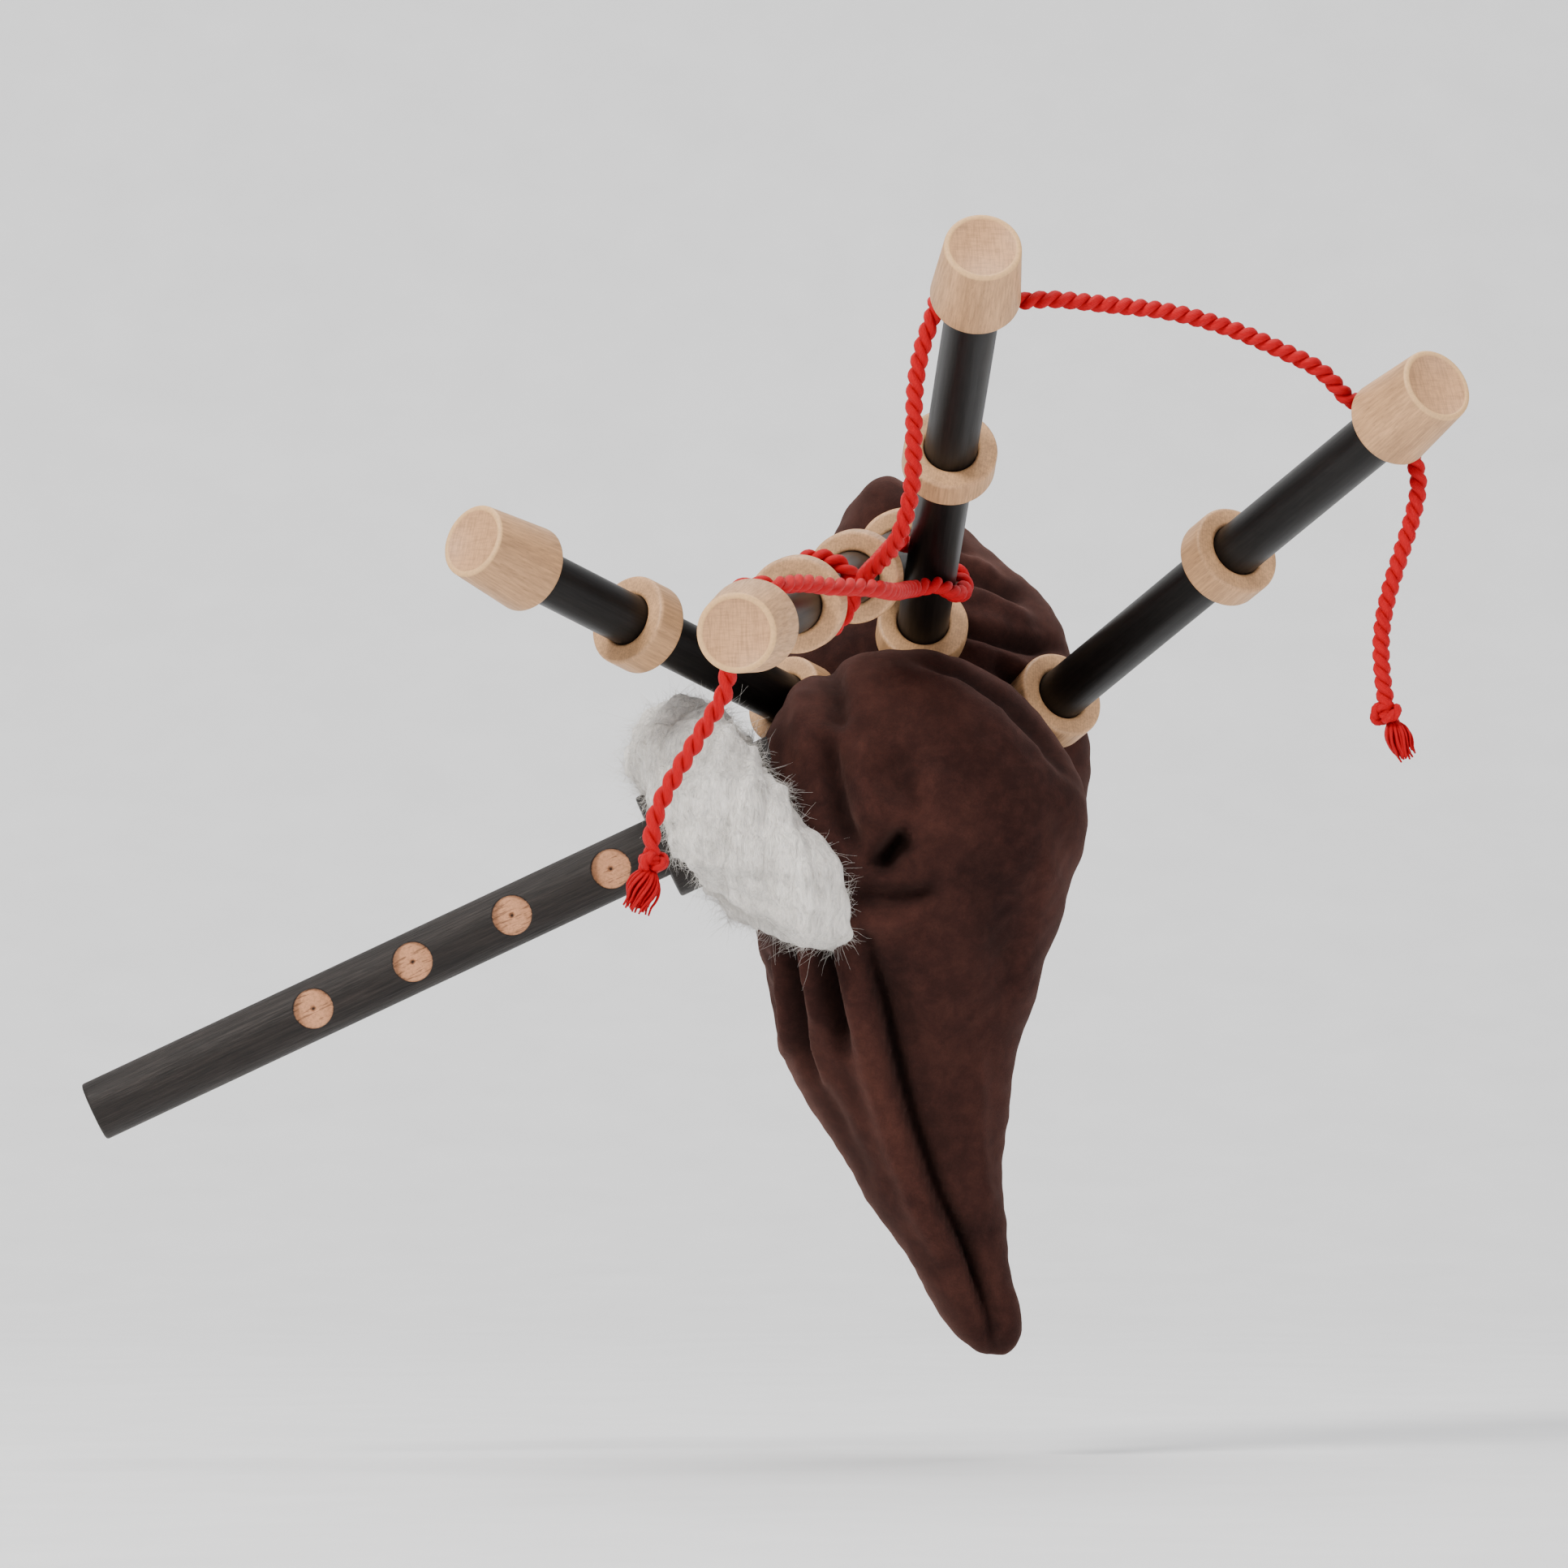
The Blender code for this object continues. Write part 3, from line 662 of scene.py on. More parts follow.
FRONT_DEPTH += ((-10.0, -4.0, 8.4), (-20.0, -3.5, 6.2), (-28.0, -3.0, 4.9), (-33.0, -3.0, 3.4))
FRONT_DEPTH += ((-34.9, -3.0, 1.0),)
BACK_LEFT = ((69.3, 34.4), (68.0, 32.6), (65.0, 30.5), (60.0, 27.0), (54.5, 23.6), (47.5, 21.0))
BACK_LEFT += ((40.0, 19.6), (30.0, 19.4), (20.0, 21.0), (10.0, 24.5), (0.0, 28.5), (-8.0, 32.0))
BACK_LEFT += ((-17.0, 37.0),)
BACK_RIGHT = ((69.3, 35.8), (68.0, 37.0), (63.5, 43.0), (60.0, 47.0), (56.4, 51.0), (52.9, 54.1))
BACK_RIGHT += ((47.5, 56.2), (41.6, 57.6), (35.6, 58.6), (29.7, 58.0), (20.0, 54.5), (10.0, 50.0))
BACK_RIGHT += ((0.0, 46.8), (-8.0, 45.2), (-17.0, 44.0))
BACK_DEPTH = ((69.3, 16.0, 0.8), (68.0, 16.0, 4.0), (65.0, 16.2, 7.0), (60.0, 16.8, 9.0))
BACK_DEPTH += ((56.0, 15.5, 10.6), (52.0, 13.8, 13.4), (49.0, 12.6, 15.0), (45.0, 12.0, 16.0))
BACK_DEPTH += ((40.0, 12.0, 16.2), (30.0, 11.5, 15.6), (20.0, 9.6, 13.9), (10.0, 7.2, 11.6))
BACK_DEPTH += ((0.0, 4.2, 9.4), (-7.0, 1.8, 7.4), (-13.0, -0.4, 5.2), (-17.0, -1.6, 3.2))


def lobe(left, right, depth, power, rows=90, around=96):
    """One lobe of the bag: at height z it is a rounded outline whose half widths run between the
    left and right edges and the front and back, each read from a smooth line through a few heights."""
    top, low = depth[0][0], depth[-1][0]
    z = low + (top - low) * 0.5 * (1 + np.cos(np.linspace(0, math.pi, rows)))

    def read(table, column):
        t = np.array(sorted(table))
        y = np.interp(z, t[:, 0], t[:, column])
        soft = np.array((1, 2, 3, 2, 1.0))
        wide = np.convolve(np.pad(y, 2, mode="edge"), soft / soft.sum(), mode="valid")
        keep = np.minimum(1, np.minimum(z - low, top - z) / 3.0)
        return y * (1 - keep) + wide * keep

    x0, x1 = read(left, 1), read(right, 1)
    yc, ry = read(depth, 1), read(depth, 2)
    a = np.linspace(0, math.tau, around, endpoint=False)
    c = np.sign(np.cos(a)) * np.abs(np.cos(a)) ** (2 / power)
    s = np.sign(np.sin(a)) * np.abs(np.sin(a)) ** (2 / power)
    x = ((x0 + x1) / 2)[:, None] + ((x1 - x0) / 2)[:, None] * c
    y = yc[:, None] + ry[:, None] * s
    grid = np.stack((x, y, np.broadcast_to(z[:, None], x.shape)), axis=-1)
    verts, faces = closed_grid(grid)
    return verts, outward(verts, faces)


def path_distance(p, path):
    """Shortest distance of flat points from a path of straight runs, how far along it from 0 to 1, and
    whether they are to its left."""
    path = np.asarray(path, float)
    best, at, left = np.full(len(p), np.inf), np.zeros(len(p)), np.zeros(len(p), bool)
    total = np.linalg.norm(np.diff(path, axis=0), axis=1).sum()
    run = 0.0
    for a, b in zip(path, path[1:]):
        d = b - a
        size = np.linalg.norm(d)
        t = np.clip((p - a) @ d / size**2, 0, 1)
        far = np.linalg.norm(p - a - t[:, None] * d, axis=1)
        closer = far < best
        best = np.where(closer, far, best)
        at = np.where(closer, (run + t * size) / total, at)
        side = d[0] * (p[:, 1] - a[1]) - d[1] * (p[:, 0] - a[0]) > 0
        left = np.where(closer, side, left)
        run += size
    return best, at, left


# Folds of the front: path in (x, z), half width to its left, half width to its right, and height
# (a valley is below zero). Left and right are those of someone who goes along the path.
FOLDS = (
    (((31.6, 21.4), (33.2, 23.4), (35.4, 25.6)), 0.9, 1.5, -4.2),
    (((29.0, 28.5), (32.5, 27.6), (36.5, 28.6)), 1.6, 1.3, 1.1),
    (((28.2, 18.4), (32.0, 17.6), (36.4, 17.7), (39.5, 18.8)), 1.5, 0.7, -1.5),
    (((27.4, 15.6), (32.0, 15.2), (37.5, 15.6)), 1.0, 1.3, 0.8),
    (((26.3, 37.5), (27.0, 32.5), (28.1, 27.7), (30.2, 23.0)), 1.0, 1.1, -1.9),
    (((30.4, 36.5), (31.0, 31.0), (33.3, 27.2)), 1.2, 1.3, 1.0),
    (((34.5, 36.0), (35.0, 31.5), (36.8, 27.0)), 1.8, 2.0, -0.9),
    (((37.5, 34.0), (38.2, 29.5), (39.0, 24.0)), 1.8, 2.2, 0.7),
    (((27.1, 46.5), (27.5, 42.0), (27.9, 37.0)), 1.2, 1.5, -1.4),
    (((23.2, 43.5), (24.0, 38.0), (25.0, 32.0)), 1.3, 1.2, 0.7),
    (((30.0, 16.4), (31.2, 11.0), (33.0, 5.0), (34.9, -2.8), (36.7, -8.7), (39.6, -16.4), (43.1, -22.8),
      (45.5, -29.9), (46.2, -36.0)), 1.1, 0.5, -2.6),
    (((27.5, 12.5), (29.6, 6.0), (31.8, -2.5), (34.2, -9.5), (37.6, -17.5), (41.2, -24.5)), 2.4, 1.3, 1.4),
    (((34.2, 13.0), (35.6, 6.0), (37.6, -2.5), (39.8, -9.0), (42.6, -16.0)), 1.0, 3.0, -0.7),
    (((19.6, 12.0), (19.8, 8.0), (20.6, 2.0)), 0.5, 0.6, -1.5),
    (((20.9, 13.5), (21.2, 8.0), (22.2, -0.5)), 0.6, 0.6, 0.8),
    (((22.3, 14.5), (22.6, 9.0), (23.6, 0.5), (25.5, -4.0)), 0.55, 0.6, -1.9),
    (((23.9, 14.0), (24.2, 9.0), (25.4, 3.0)), 0.6, 0.7, 0.8),
    (((25.8, 14.5), (26.3, 9.5), (27.4, 4.8), (29.0, -0.5)), 0.85, 0.8, -2.6),
    (((24.5, -2.0), (28.0, -8.0), (32.5, -16.0)), 1.2, 1.0, -0.6),
    (((36.0, 45.6), (42.0, 44.6), (47.5, 41.2), (52.0, 36.5), (54.6, 31.5)), 0.7, 0.9, -1.1),
    (((33.0, 44.0), (40.0, 42.4), (46.0, 38.8), (50.0, 34.0)), 1.4, 2.0, 0.6),
    (((41.5, 24.0), (46.5, 17.0), (47.0, 8.0)), 2.8, 2.4, -0.6),
    (((52.5, 25.0), (50.8, 15.0), (47.6, 3.0)), 2.0, 1.2, 0.5),
    (((44.0, 2.0), (44.2, -8.0), (45.5, -20.0)), 1.2, 1.2, 0.5),
)
# Folds of the raised back lobe, seen above and beside the pipes.
BACK_FOLDS = (
    (((40.0, 51.5), (44.5, 49.8), (50.0, 48.6), (55.5, 48.0)), 0.9, 1.2, -1.8),
    (((42.0, 48.0), (47.0, 46.4), (52.0, 44.6)), 1.0, 1.0, 0.9),
    (((41.0, 54.5), (46.0, 53.6), (52.0, 51.0)), 1.1, 1.0, 0.9),
    (((42.0, 57.0), (46.5, 55.6), (51.5, 53.8)), 0.9, 1.0, -1.3),
    (((38.0, 62.0), (43.0, 59.0), (48.0, 56.0)), 1.1, 1.2, 0.7),
    (((46.0, 47.0), (49.0, 43.5), (51.0, 39.5)), 0.9, 0.9, -1.4),
    (((36.5, 66.0), (41.0, 61.5), (45.0, 58.5)), 0.9, 0.9, -0.8),
)


def fold_skin(p, normal):
    """Adds up the folds: each is a bell across its path, with its own half width on either side, that
    fades at both ends. Broad waves, gathers behind and small wrinkles are added all over. Gives the
    height of the folds alone, and of everything."""
    flat = p[:, (0, 2)]
    # How much of the front's folds, and of the back lobe's, a point takes: none on faces turned back.
    front = np.clip((0.0 - p[:, 1]) / 5.0, 0, 1) * np.clip(0.85 - normal[:, 1] * 1.5, 0, 1)
    rear = np.clip((p[:, 1] + 9.0) / 6.0, 0, 1) * np.clip(0.8 - normal[:, 1] * 1.5, 0, 1)
    lift = np.zeros(len(p))
    for folds, side in ((FOLDS, front), (BACK_FOLDS, rear)):
        for path, left_width, right_width, height in folds:
            far, at, left = path_distance(flat, path)
            width = np.where(left, left_width, right_width)
            fade = np.clip(np.minimum(at, 1 - at) * 5.0 + 0.05, 0, 1)
            lift += 1.25 * side * fade * height * np.exp(-((far / width) ** 2))
    x, y, z = p.T
    waves = 0.28 * np.sin(0.32 * x + 0.9 * np.sin(0.16 * z + 1.0) + 0.3 * y)
    waves += 0.16 * np.sin(0.55 * z + 0.4 * x + 1.3 * np.sin(0.33 * x) + 0.25 * y)
    small = 0.05 * np.sin(1.6 * x + 0.9 * z + 2 * np.sin(0.6 * z + 0.4 * y))
    small += 0.04 * np.sin(2.1 * z - 1.2 * x + 1.5 * np.sin(0.8 * x + 0.5 * y))
    behind = np.clip((p[:, 1] - 15) / 8, 0, 1)
    gather = 0.55 * behind * np.sin(0.6 * x + 0.22 * z + 0.8 * np.sin(0.2 * z))
    gather += 0.3 * behind * np.sin(1.3 * x - 0.3 * z + 1.0)
    return lift, lift + waves + small + gather * np.clip((z + 30) / 40, 0.2, 1)


def read_vectors(mesh, what):
    """The vertices' places (co) or their normals (normal) as rows."""
    p = np.empty(len(mesh.vertices) * 3, np.float32)
    mesh.vertices.foreach_get(what, p)
    return p.reshape(-1, 3).astype(float)


def soften(piece, factor, rounds):
    smooth = piece.modifiers.new("soften", "SMOOTH")
    smooth.factor = factor
    smooth.iterations = rounds


def apply_modifiers(piece):
    """Makes the modifiers' result the piece's own mesh."""
    graph = bpy.context.evaluated_depsgraph_get()
    mesh = bpy.data.meshes.new_from_object(piece.evaluated_get(graph))
    piece.modifiers.clear()
    piece.data = mesh
    return mesh


def make_bag():
    """Two stuffed lobes are joined into one skin, smoothed, and given their folds."""
    sizes = bpy.context.scene.bagpipes_bag
    front = lobe(FRONT_LEFT, FRONT_RIGHT, FRONT_DEPTH, 2.25)
    back = lobe(BACK_LEFT, BACK_RIGHT, BACK_DEPTH, 2.2)
    piece = new_piece("velvet_bag", *join_parts((front, back)))
    remesh = piece.modifiers.new("one_skin", "REMESH")
    remesh.mode = "VOXEL"
    remesh.voxel_size = sizes.voxel
    remesh.use_smooth_shade = True
    soften(piece, 0.5, 24)
    mesh = apply_modifiers(piece)
    p = read_vectors(mesh, "co") / MM + GRIP
    normal = read_vectors(mesh, "normal")
    folds, rise = fold_skin(p, normal)
    p = p + normal * rise[:, None]
    # The fold heights are kept for the velvet's painted shade in the valleys and painted highlight on the
    # ridges.
    add_attribute(mesh, "fold_shading", 0.5 + folds / 6.0)
    mesh.vertices.foreach_set("co", place(p).astype(np.float32).ravel())
    mesh.update()
    soften(piece, 0.4, 2)
    shade_smooth(apply_modifiers(piece))
    settle(piece, "bag_group", "velvet", "bag")


# The wool collar

WOOL_CENTRE = np.array((15.4, -11.0, 27.4))
WOOL_TURN = math.radians(42.0)
NECK, RIM = 4.6, 14.8  # radii of the wool's inner and outer edge
TIP_AT, TIP_WIDTH = 4.2, 0.5  # angle of the long tuft and its half width
WOOL_LAYERS = 4
FIBRE_RADIUS, FIBRE_CURL, FIBRE_STEPS, FIBRE_SIDES = 0.022, 0.75, 6, 3


def wool_surface(u, v):
    """A soft ring round the neck: u goes round the neck and v round the ring's section. The section is
    an oval from near the neck out to a rim, lumpy like loose cotton, that is longest at the lower front."""
    tip = np.exp(-(((u - TIP_AT + math.pi) % math.tau - math.pi) / TIP_WIDTH) ** 2)
    rim = RIM + 0.6 * np.sin(2 * u + 0.4) + 0.5 * np.sin(3 * u + 2.0) + 5.6 * tip
    reach, tall = (rim + NECK) / 2, (rim - NECK) / 2
    thick = 6.5 + 0.5 * np.sin(2 * u + 1.2) + 0.5 * np.sin(5 * u) - 1.4 * tip
    lump = 0.42 * np.sin(5 * u + 2 * v) + 0.34 * np.sin(9 * u - 3 * v + 1) + 0.3 * np.sin(13 * u + 5 * v + 2)
    lump = lump + 0.16 * np.sin(23 * u - 8 * v) + 0.13 * np.sin(31 * u + 11 * v + 1)
    radius = reach + (tall + lump) * np.cos(v)
    across = (thick + lump) * np.sin(v) + 1.3 * np.sin(u + 0.3) + 1.6 * tip
    axis = np.array((math.cos(WOOL_TURN), 0, math.sin(WOOL_TURN)))
    up = np.array((-math.sin(WOOL_TURN), 0, math.cos(WOOL_TURN)))
    side = np.cross(up, axis)
    ring = np.cos(u)[..., None] * side + np.sin(u)[..., None] * up
    return WOOL_CENTRE + ring * radius[..., None] + axis * across[..., None]


def make_fibres(name, roots, headings, lengths, seed):
    """Thin tapering fibres: each starts at its root, runs along its heading and bends a little more
    with every step; its section is a small triangle."""
    rng = np.random.default_rng(seed)
    n, steps, sides = len(roots), FIBRE_STEPS, FIBRE_SIDES
    t = np.linspace(0, 1, steps)
    bend = rng.normal(size=(n, 3)) * FIBRE_CURL
    swing = rng.normal(size=(n, 3)) * FIBRE_CURL * 0.6
    path = roots[:, None] + lengths[:, None, None] * (
        headings[:, None] * t[None, :, None]
        + bend[:, None] * (t**2)[None, :, None] * 0.6
        + swing[:, None] * np.sin(t * 5)[None, :, None] * 0.18
    )
    tangent = np.gradient(path, axis=1)
    tangent /= np.linalg.norm(tangent, axis=2, keepdims=True) + 1e-9
    ref = unit((0.31, 0.52, 0.79))
    a = np.cross(tangent, ref)
    a /= np.linalg.norm(a, axis=2, keepdims=True) + 1e-9
    b = np.cross(tangent, a)
    width = FIBRE_RADIUS * (1.0 - 0.75 * t)[None, :, None, None]
    ang = (np.arange(sides) * math.tau / sides)[None, None, :, None]
    ring = np.cos(ang) * a[:, :, None] + np.sin(ang) * b[:, :, None]
    points = path[:, :, None] + ring * width
    root, tip = np.arange(sides)[::-1], np.arange(sides) + (steps - 1) * sides
    offsets = (np.arange(n) * steps * sides)[:, None, None]
    quads = (grid_faces(steps, sides, False, True)[None] + offsets).reshape(-1, 4)
    ends = (np.array((root, tip))[None] + offsets).reshape(-1, sides)
    return new_piece(name, points.reshape(-1, 3), face_list(quads) + face_list(ends))


def make_wool():
    """A soft core and loose fibres. A first layer of short ones stands up, and the long ones of the
    others leave the core at a low angle."""
    round_neck = np.linspace(0, math.tau, 160, endpoint=False)
    round_section = np.linspace(0, math.tau, 72, endpoint=False)
    grid = wool_surface(*np.meshgrid(round_neck, round_section, indexing="ij"))
    verts, faces = closed_grid(grid, wrap_rows=True)
    core = new_piece("wool_core", verts, outward(verts, faces))
    settle(core, "bag_group", "wool", "wool_collar")
    rng = np.random.default_rng(7)
    n = bpy.context.scene.bagpipes_bag.fibres
    for part in range(WOOL_LAYERS):
        us, vs = rng.uniform(0, math.tau, n), rng.uniform(0, math.tau, n)
        roots = wool_surface(us, vs)
        du = wool_surface(us + 0.01, vs) - roots
        dv = wool_surface(us, vs + 0.01) - roots
        out = roots - wool_surface(us, vs + math.pi)
        for d in (du, dv, out):
            d /= np.linalg.norm(d, axis=1, keepdims=True)
        angle = 0.9 * np.sin(3 * us + 2 * vs) + 0.8 * np.sin(5 * us - 3 * vs + 1) + rng.normal(size=n) * 0.45
        rise = rng.uniform(0.0, 0.15, n) if part else rng.uniform(0.3, 1.0, n)
        heading = np.cos(angle)[:, None] * du + np.sin(angle)[:, None] * dv + out * rise[:, None]
        heading /= np.linalg.norm(heading, axis=1, keepdims=True)
        spans = rng.uniform(1.3, 3.1, n) if part else rng.uniform(0.7, 1.5, n)
        roots = roots - out * rng.uniform(0.0, 0.4, (n, 1))
        fibres = make_fibres("wool_fibres_%d" % (part + 1), roots, heading, spans, 20 + part)
        settle(fibres, "bag_group", "wool")


# The cord

WRAP_RADIUS = 4.25  # from a pipe's axis to the middle of the cord round it
ROUTE_STEP = 0.28  # between points of the cord's centreline
PLY_AWAY, PLY_RADIUS = 0.47, 0.55  # shares of the cord's radius
TAUT_MIDDLE, TAUT_HALF = 74.0, 32.0  # the stretch from the bass cap back to the first tenor
GOLDEN_ANGLE = 2.399963


def wrap(name, start, end, first, last, count, middle=None):
    """Points of the cord round a pipe, from one distance and angle to another; the distance is drawn
    towards the middle one on the way."""
    point, direction, _ = PIPES[name]
    right, up, along = axes_of(direction)
    middle = (start + end) / 2 if middle is None else middle
    f = np.linspace(0, 1, count)[:, None]
    a = np.radians(first + (last - first) * f)
    away = (1 - f) ** 2 * start + 2 * f * (1 - f) * middle + f**2 * end
    return np.asarray(point) + along * away + (right * np.cos(a) + up * np.sin(a)) * WRAP_RADIUS


def cord_route():
    """The cord's route, from the knot under the bass cap to the knot under the right-hand cap."""
    to_bass_top = ((6.0, -84.0, 21.5), (6.0, -84.0, 24.2), (6.9, -84.3, 27.0), (9.0, -85.0, 30.8))
    to_bass_top += ((11.6, -86.0, 35.0), (14.0, -87.6, 39.4))
    to_first_tenor = ((21.9, -83.0, 50.5), (25.3, -75.0, 50.6), (28.2, -67.0, 51.0), (30.8, -60.0, 51.2))
    to_first_tenor += ((32.4, -52.0, 51.4), (33.8, -41.0, 52.0), (35.2, -30.5, 52.8), (36.8, -23.2, 53.4))
    to_bass_middle = ((34.5, -26.5, 58.8), (32.9, -34.0, 57.0), (30.9, -43.0, 54.6))
    to_first_cap = ((28.2, -54.9, 50.0), (29.4, -55.6, 52.6), (31.6, -58.5, 54.6), (33.3, -62.0, 57.2))
    to_first_cap += ((34.5, -63.5, 62.0), (34.7, -64.2, 67.8), (34.8, -64.5, 72.8), (35.6, -64.4, 77.4))
    to_second_cap = ((49.5, -64.2, 82.7), (56.5, -62.5, 82.2), (63.0, -61.0, 81.6), (69.5, -59.5, 80.0))
    to_second_cap += ((75.5, -58.2, 77.6), (80.0, -57.3, 75.4))
    to_end = ((90.9, -54.6, 63.6), (90.2, -54.4, 59.6), (88.8, -54.3, 55.2), (87.4, -54.3, 50.6))
    to_end += ((86.7, -54.2, 46.4), (86.8, -54.0, 42.6), (87.3, -53.8, 38.6))
    return np.vstack((
        to_bass_top,
        wrap("bass", 99.0, 98.0, 215, 68, 6),
        to_first_tenor,
        wrap("tenor_1", 15.3, 18.8, 276, 545, 12, -2.0),
        to_bass_middle,
        wrap("bass", 58.5, 64.6, 22, 318, 11),
        to_first_cap,
        wrap("tenor_1", 67.3, 67.3, 185, 12, 6),
        to_second_cap,
        wrap("tenor_2", 68.4, 68.4, 122, -22, 6),
        to_end,
    ))


def smooth_path(points, step):
    """A smooth curve through the points, whose pull at each point depends on the square roots of the
    gaps beside it, read at even steps and eased by a bell of 1 mm. Gives the curve and its length."""
    p = np.asarray(points, float)
    p = np.vstack((p[:1] * 2 - p[1:2], p, p[-1:] * 2 - p[-2:-1]))
    gap = np.linalg.norm(np.diff(p, axis=0), axis=1) ** 0.5
    a, b, c, d = p[:-3], p[1:-2], p[2:-1], p[3:]
    g0, g1, g2 = gap[:-2, None], gap[1:-1, None], gap[2:, None]
    m1 = ((b - a) / g0 - (c - a) / (g0 + g1) + (c - b) / g1) * g1
    m2 = ((c - b) / g1 - (d - b) / (g1 + g2) + (d - c) / g2) * g1
    t = np.linspace(0, 1, 24, endpoint=False)[None, :, None]
    line = b[:, None] * (2 * t**3 - 3 * t**2 + 1) + m1[:, None] * (t**3 - 2 * t**2 + t)
    line = line + c[:, None] * (3 * t**2 - 2 * t**3) + m2[:, None] * (t**3 - t**2)
    line = np.vstack((line.reshape(-1, 3), p[-2:-1]))
    run = np.concatenate(([0], np.cumsum(np.linalg.norm(np.diff(line, axis=0), axis=1))))
    at = np.linspace(0, run[-1], int(run[-1] / step) + 1)
    line = np.stack([np.interp(at, run, line[:, k]) for k in range(3)], axis=1)
    reach = 14
    bell = np.exp(-0.5 * (np.arange(-reach, reach + 1) * step) ** 2)
    padded = np.vstack((2 * line[0] - line[reach:0:-1], line, 2 * line[-1] - line[-2:-reach - 2:-1]))
    line = np.stack([np.convolve(padded[:, k], bell / bell.sum(), mode="valid") for k in range(3)], axis=1)
    return line, np.linalg.norm(np.diff(line, axis=0), axis=1).sum()


def carried_frames(line):
    """Two directions across the line at each point, turned as little as possible from one to the next."""
    tangent = np.gradient(line, axis=0)
    tangent /= np.linalg.norm(tangent, axis=1, keepdims=True)
    across = np.zeros_like(line)
    across[0] = unit(np.cross(tangent[0], (0.3, 0.9, 0.1)))
    for i in range(1, len(line)):
        v = across[i - 1] - tangent[i] * (across[i - 1] @ tangent[i])
        across[i] = v / np.linalg.norm(v)
    return tangent, across, np.cross(tangent, across)


def ply(line, offset, radius, lay, phase, around=12, taper=1.0):
    """One ply: a tube whose centre goes round the line once in each lay, at the offset from it. The
    lay grows a little tighter on the way, and the twist is pulled open on the taut stretch."""
    _, a, b = carried_frames(line)
    step = np.linalg.norm(np.diff(line, axis=0), axis=1)
    run = np.concatenate(([0], np.cumsum(step)))
    taut = np.exp(-(((run - TAUT_MIDDLE) / TAUT_HALF) ** 4))
    rate = math.tau / (lay * (1.1 - 0.35 * run / run[-1]) * (0.92 + 0.75 * taut))
    turn = phase - np.concatenate(([0], np.cumsum(step * rate[1:])))
    centre = line + offset * (np.cos(turn)[:, None] * a + np.sin(turn)[:, None] * b)
    _, c, d = carried_frames(centre)
    ang = np.linspace(0, math.tau, around, endpoint=False)
    size = radius * taper * np.ones(len(line))
    ring = np.cos(ang)[None, :, None] * c[:, None] + np.sin(ang)[None, :, None] * d[:, None]
    verts, faces = closed_grid(centre[:, None] + ring * size[:, None, None])
    flow = np.stack(np.broadcast_arrays(ang[None, :] * 0.6, run[:, None]), axis=-1)
    flow = np.vstack((flow.reshape(-1, 2), (0, 0), (0, run[-1])))
    return verts, outward(verts, faces), flow


def make_rope(name, node, parts):
    """A piece of cord from its plies, with a UV map that runs round and along each ply."""
    piece = new_piece(name, *join_parts([(v, f) for v, f, _ in parts]))
    flow = np.vstack([w for _, _, w in parts])
    mesh = piece.data
    loops = np.empty(len(mesh.loops), np.int32)
    mesh.loops.foreach_get("vertex_index", loops)
    mesh.uv_layers.new(name="UVMap").data.foreach_set("uv", flow[loops].astype(np.float32).ravel())
    return settle(piece, "bag_group", "cord", node)


def knot_parts(centre, heading, size):
    """A tight knot: a cord that winds round the heading on a three-lobed closed path."""
    right, up, along = axes_of(heading)
    t = np.linspace(0, math.tau, 61)
    x = np.sin(t) + 2 * np.sin(2 * t)
    y = np.cos(t) - 2 * np.cos(2 * t)
    z = -np.sin(3 * t)
    line = centre + size * (x[:, None] * right + y[:, None] * up + z[:, None] * along * 1.5)
    return [ply(line, 0.22, 0.42, 3.0, k * math.pi, 9) for k in range(2)]


def tail_parts(start, heading, span, radius, count, seed):
    """The frayed tail: thin yarns that start together and spread into a drop shape."""
    rng = np.random.default_rng(seed)
    right, up, along = axes_of(heading)
    parts = []
    t = np.linspace(0, 1, 12)
    for k in range(count):
        a = GOLDEN_ANGLE * k
        f = math.sqrt((k + 0.5) / count)
        swell = radius * f * np.sin(np.clip(t * 1.15 + 0.05, 0, 1) ** 0.8 * math.pi * 0.72)
        drift = rng.normal(size=3) * 0.15
        long = span * rng.uniform(0.86, 1.04)
        a_t = a + t * 0.9
        line = start + along * (t * long)[:, None] + (t**2)[:, None] * drift
        line = line + swell[:, None] * (np.cos(a_t)[:, None] * right + np.sin(a_t)[:, None] * up)
        parts.append(ply(line, 0.0, 0.2, 2.0, a, 6, 1 - 0.45 * t**3))
    return parts


def make_cord():
    """Two plies laid round the route, a knot at each end and the frayed tails below them."""
    sizes = bpy.context.scene.bagpipes_cord
    line, total = smooth_path(cord_route(), ROUTE_STEP)
    r, lay = sizes.radius / MM, sizes.lay / MM
    parts = [ply(line, PLY_AWAY * r, PLY_RADIUS * r, lay, k * math.pi) for k in range(2)]
    rope = make_rope("red_cord", "cord", parts)
    down = unit((-0.32, 0.0, -0.95))
    first = line[0] + unit(line[0] - line[3]) * 0.9
    parts = knot_parts(first, (0.1, -0.2, -1.0), 0.42)
    parts += tail_parts(first + down * 0.7, down, 4.6, 1.8, 46, 3)
    bass_knot = make_rope("cord_bass_knot_tied", "cord_bass_knot", parts)
    down = unit((0.42, -0.05, -0.9))
    last = line[-1] + unit(line[-1] - line[-4]) * 0.9
    parts = knot_parts(last, (-0.1, -0.2, -1.0), 0.46)
    parts += tail_parts(last + down * 0.9, down, 4.3, 1.5, 40, 5)
    tenor_knot = make_rope("cord_tenor_knot_tied", "cord_tenor_knot", parts)


# Stage

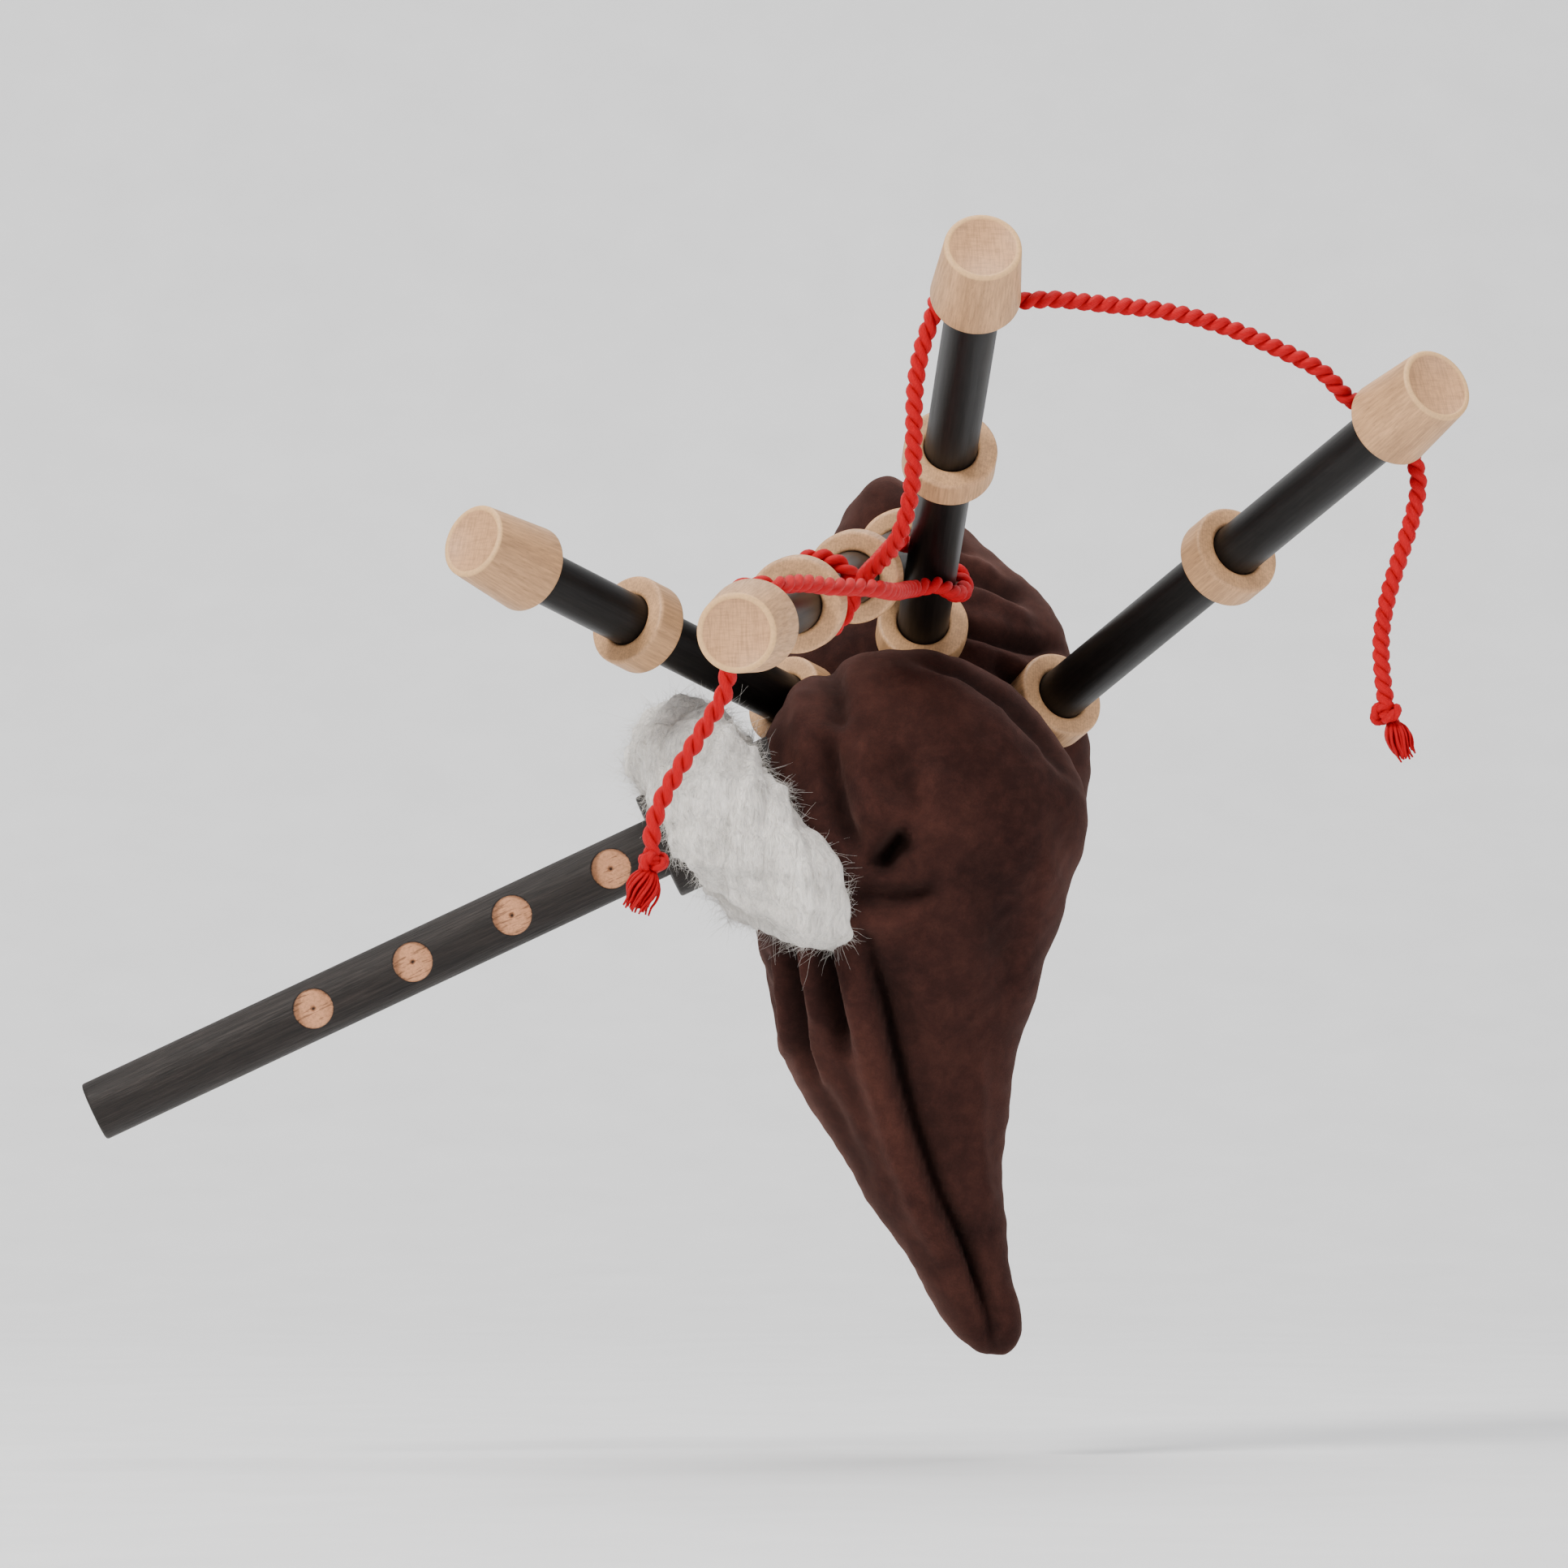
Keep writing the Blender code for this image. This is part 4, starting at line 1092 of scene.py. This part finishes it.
FLOOR_DROP = 0.012  # from the lowest point down to the paper
CAMERA_AWAY = 958.6  # in millimetres of the drawing frame, as is the point it looks at
CAMERA_AIM = (22.0, 0.0, 31.8)


def add_light(name, where, at, size, power, tint=(1, 1, 1)):
    data = bpy.data.lights.new(name, "AREA")
    data.shape = "DISK"
    data.size = size
    data.energy = power
    data.color = tint
    lamp = new_object(name, data)
    lamp.location = where
    aim(lamp, at)


def aim(thing, at):
    heading = Vector(at) - Vector(thing.location)
    thing.rotation_mode = "QUATERNION"
    thing.rotation_quaternion = heading.to_track_quat("-Z", "Y")


def make_stage():
    """A paper sweep: flat in front, then a quarter round up to a wall behind; camera and soft lights."""
    low = CAD_BOX[0][2] - FLOOR_DROP
    rows, cols, bend, wall = 40, 9, 0.6, 0.4
    t = np.linspace(0, 1, rows)
    turn = np.clip((t - 0.4) / 0.3, 0, 1) * math.pi / 2
    y = np.where(t < 0.4, -2.4 + t * 7.0, wall + bend * np.sin(turn))
    z = np.where(t < 0.4, 0.0, bend * (1 - np.cos(turn)) + np.clip(t - 0.7, 0, 1) * 8.0)
    x = np.linspace(-2.5, 2.5, cols)
    grid = np.stack(np.broadcast_arrays(x[None, :], y[:, None], low + z[:, None]), axis=-1)
    faces = face_list(grid_faces(rows, cols, False, False))
    paper = new_mesh_object("studio_sweep", grid.reshape(-1, 3), faces)
    paper.data.materials.append(material_for("paper"))
    camera = new_object("camera", bpy.data.cameras.new("camera"))
    camera.location = tuple(place((0.0, -CAMERA_AWAY, 0.0)))
    aim(camera, tuple(place(CAMERA_AIM)))
    camera.data.sensor_width = 36.0
    camera.data.angle = math.radians(10.9)
    camera.data.clip_start = 0.01
    bpy.context.scene.camera = camera
    mid = (0.06, -0.03, 0.03)
    add_light("key", (-0.75, -0.75, 0.85), mid, 0.45, 21.0, (1.0, 0.98, 0.95))
    add_light("fill", (0.95, -0.75, 0.25), mid, 0.7, 6.0, (0.97, 0.98, 1.0))
    add_light("top", (0.1, 0.15, 1.0), mid, 0.7, 8.0)
    world = bpy.data.worlds.new("soft_room")
    world.use_nodes = True
    glow = world.node_tree.nodes["Background"]
    glow.inputs["Color"].default_value = (0.95, 0.96, 1.0, 1.0)
    glow.inputs["Strength"].default_value = 0.42
    bpy.context.scene.world = world


# Operators and panel

class BAGPIPES_OT_stage(bpy.types.Operator):
    """Makes the camera, the lights and the paper sweep"""

    bl_idname = "bagpipes.stage"
    bl_label = "Stage"

    def execute(self, context):
        make_stage()
        return {"FINISHED"}


class BAGPIPES_OT_cord(bpy.types.Operator):
    """Makes the twisted cord, its knots and its frayed tails"""

    bl_idname = "bagpipes.cord"
    bl_label = "Cord"

    def execute(self, context):
        make_cord()
        return {"FINISHED"}


class BAGPIPES_OT_pipes(bpy.types.Operator):
    """Turns the rings, dowels, sockets and caps of the drones and the blowpipe"""

    bl_idname = "bagpipes.pipes"
    bl_label = "Drones and blowpipe"

    def execute(self, context):
        for name in PIPES:
            make_pipe(name)
        return {"FINISHED"}


class BAGPIPES_OT_chanter(bpy.types.Operator):
    """Turns the chanter with its finger holes, and its socket"""

    bl_idname = "bagpipes.chanter"
    bl_label = "Chanter"

    def execute(self, context):
        make_chanter()
        return {"FINISHED"}


class BAGPIPES_OT_bag(bpy.types.Operator):
    """Sews and stuffs the velvet bag"""

    bl_idname = "bagpipes.bag"
    bl_label = "Bag"

    def execute(self, context):
        make_bag()
        return {"FINISHED"}


class BAGPIPES_OT_wool(bpy.types.Operator):
    """Winds the wool collar round the neck"""

    bl_idname = "bagpipes.wool"
    bl_label = "Wool collar"

    def execute(self, context):
        make_wool()
        return {"FINISHED"}


OPERATORS = (
    BAGPIPES_OT_stage,
    BAGPIPES_OT_cord,
    BAGPIPES_OT_pipes,
    BAGPIPES_OT_chanter,
    BAGPIPES_OT_bag,
    BAGPIPES_OT_wool,
)
GROUPS = {
    "bagpipes_pipes": BAGPIPES_PG_pipes,
    "bagpipes_chanter": BAGPIPES_PG_chanter,
    "bagpipes_bag": BAGPIPES_PG_bag,
    "bagpipes_cord": BAGPIPES_PG_cord,
}


class BAGPIPES_PT_panel(bpy.types.Panel):
    bl_idname = "BAGPIPES_PT_panel"
    bl_label = "Miniature bagpipes"
    bl_space_type = "VIEW_3D"
    bl_region_type = "UI"
    bl_category = "Bagpipes"

    def draw(self, context):
        for operator in OPERATORS:
            self.layout.operator(operator.bl_idname)
        for key in GROUPS:
            box = self.layout.box()
            group = getattr(context.scene, key)
            for field in group.bl_rna.properties:
                if field.identifier not in ("rna_type", "name"):
                    box.prop(group, field.identifier)


def register():
    for cls in (*GROUPS.values(), *OPERATORS, BAGPIPES_PT_panel):
        bpy.utils.register_class(cls)
    for key, cls in GROUPS.items():
        setattr(bpy.types.Scene, key, bpy.props.PointerProperty(type=cls))


def unregister():
    for key in GROUPS:
        delattr(bpy.types.Scene, key)
    for cls in (BAGPIPES_PT_panel, *reversed(OPERATORS), *reversed(tuple(GROUPS.values()))):
        bpy.utils.unregister_class(cls)


def main():
    register()
    for operator in OPERATORS:
        group, name = operator.bl_idname.split(".")
        getattr(getattr(bpy.ops, group), name)()


if __name__ == "__main__":
    main()
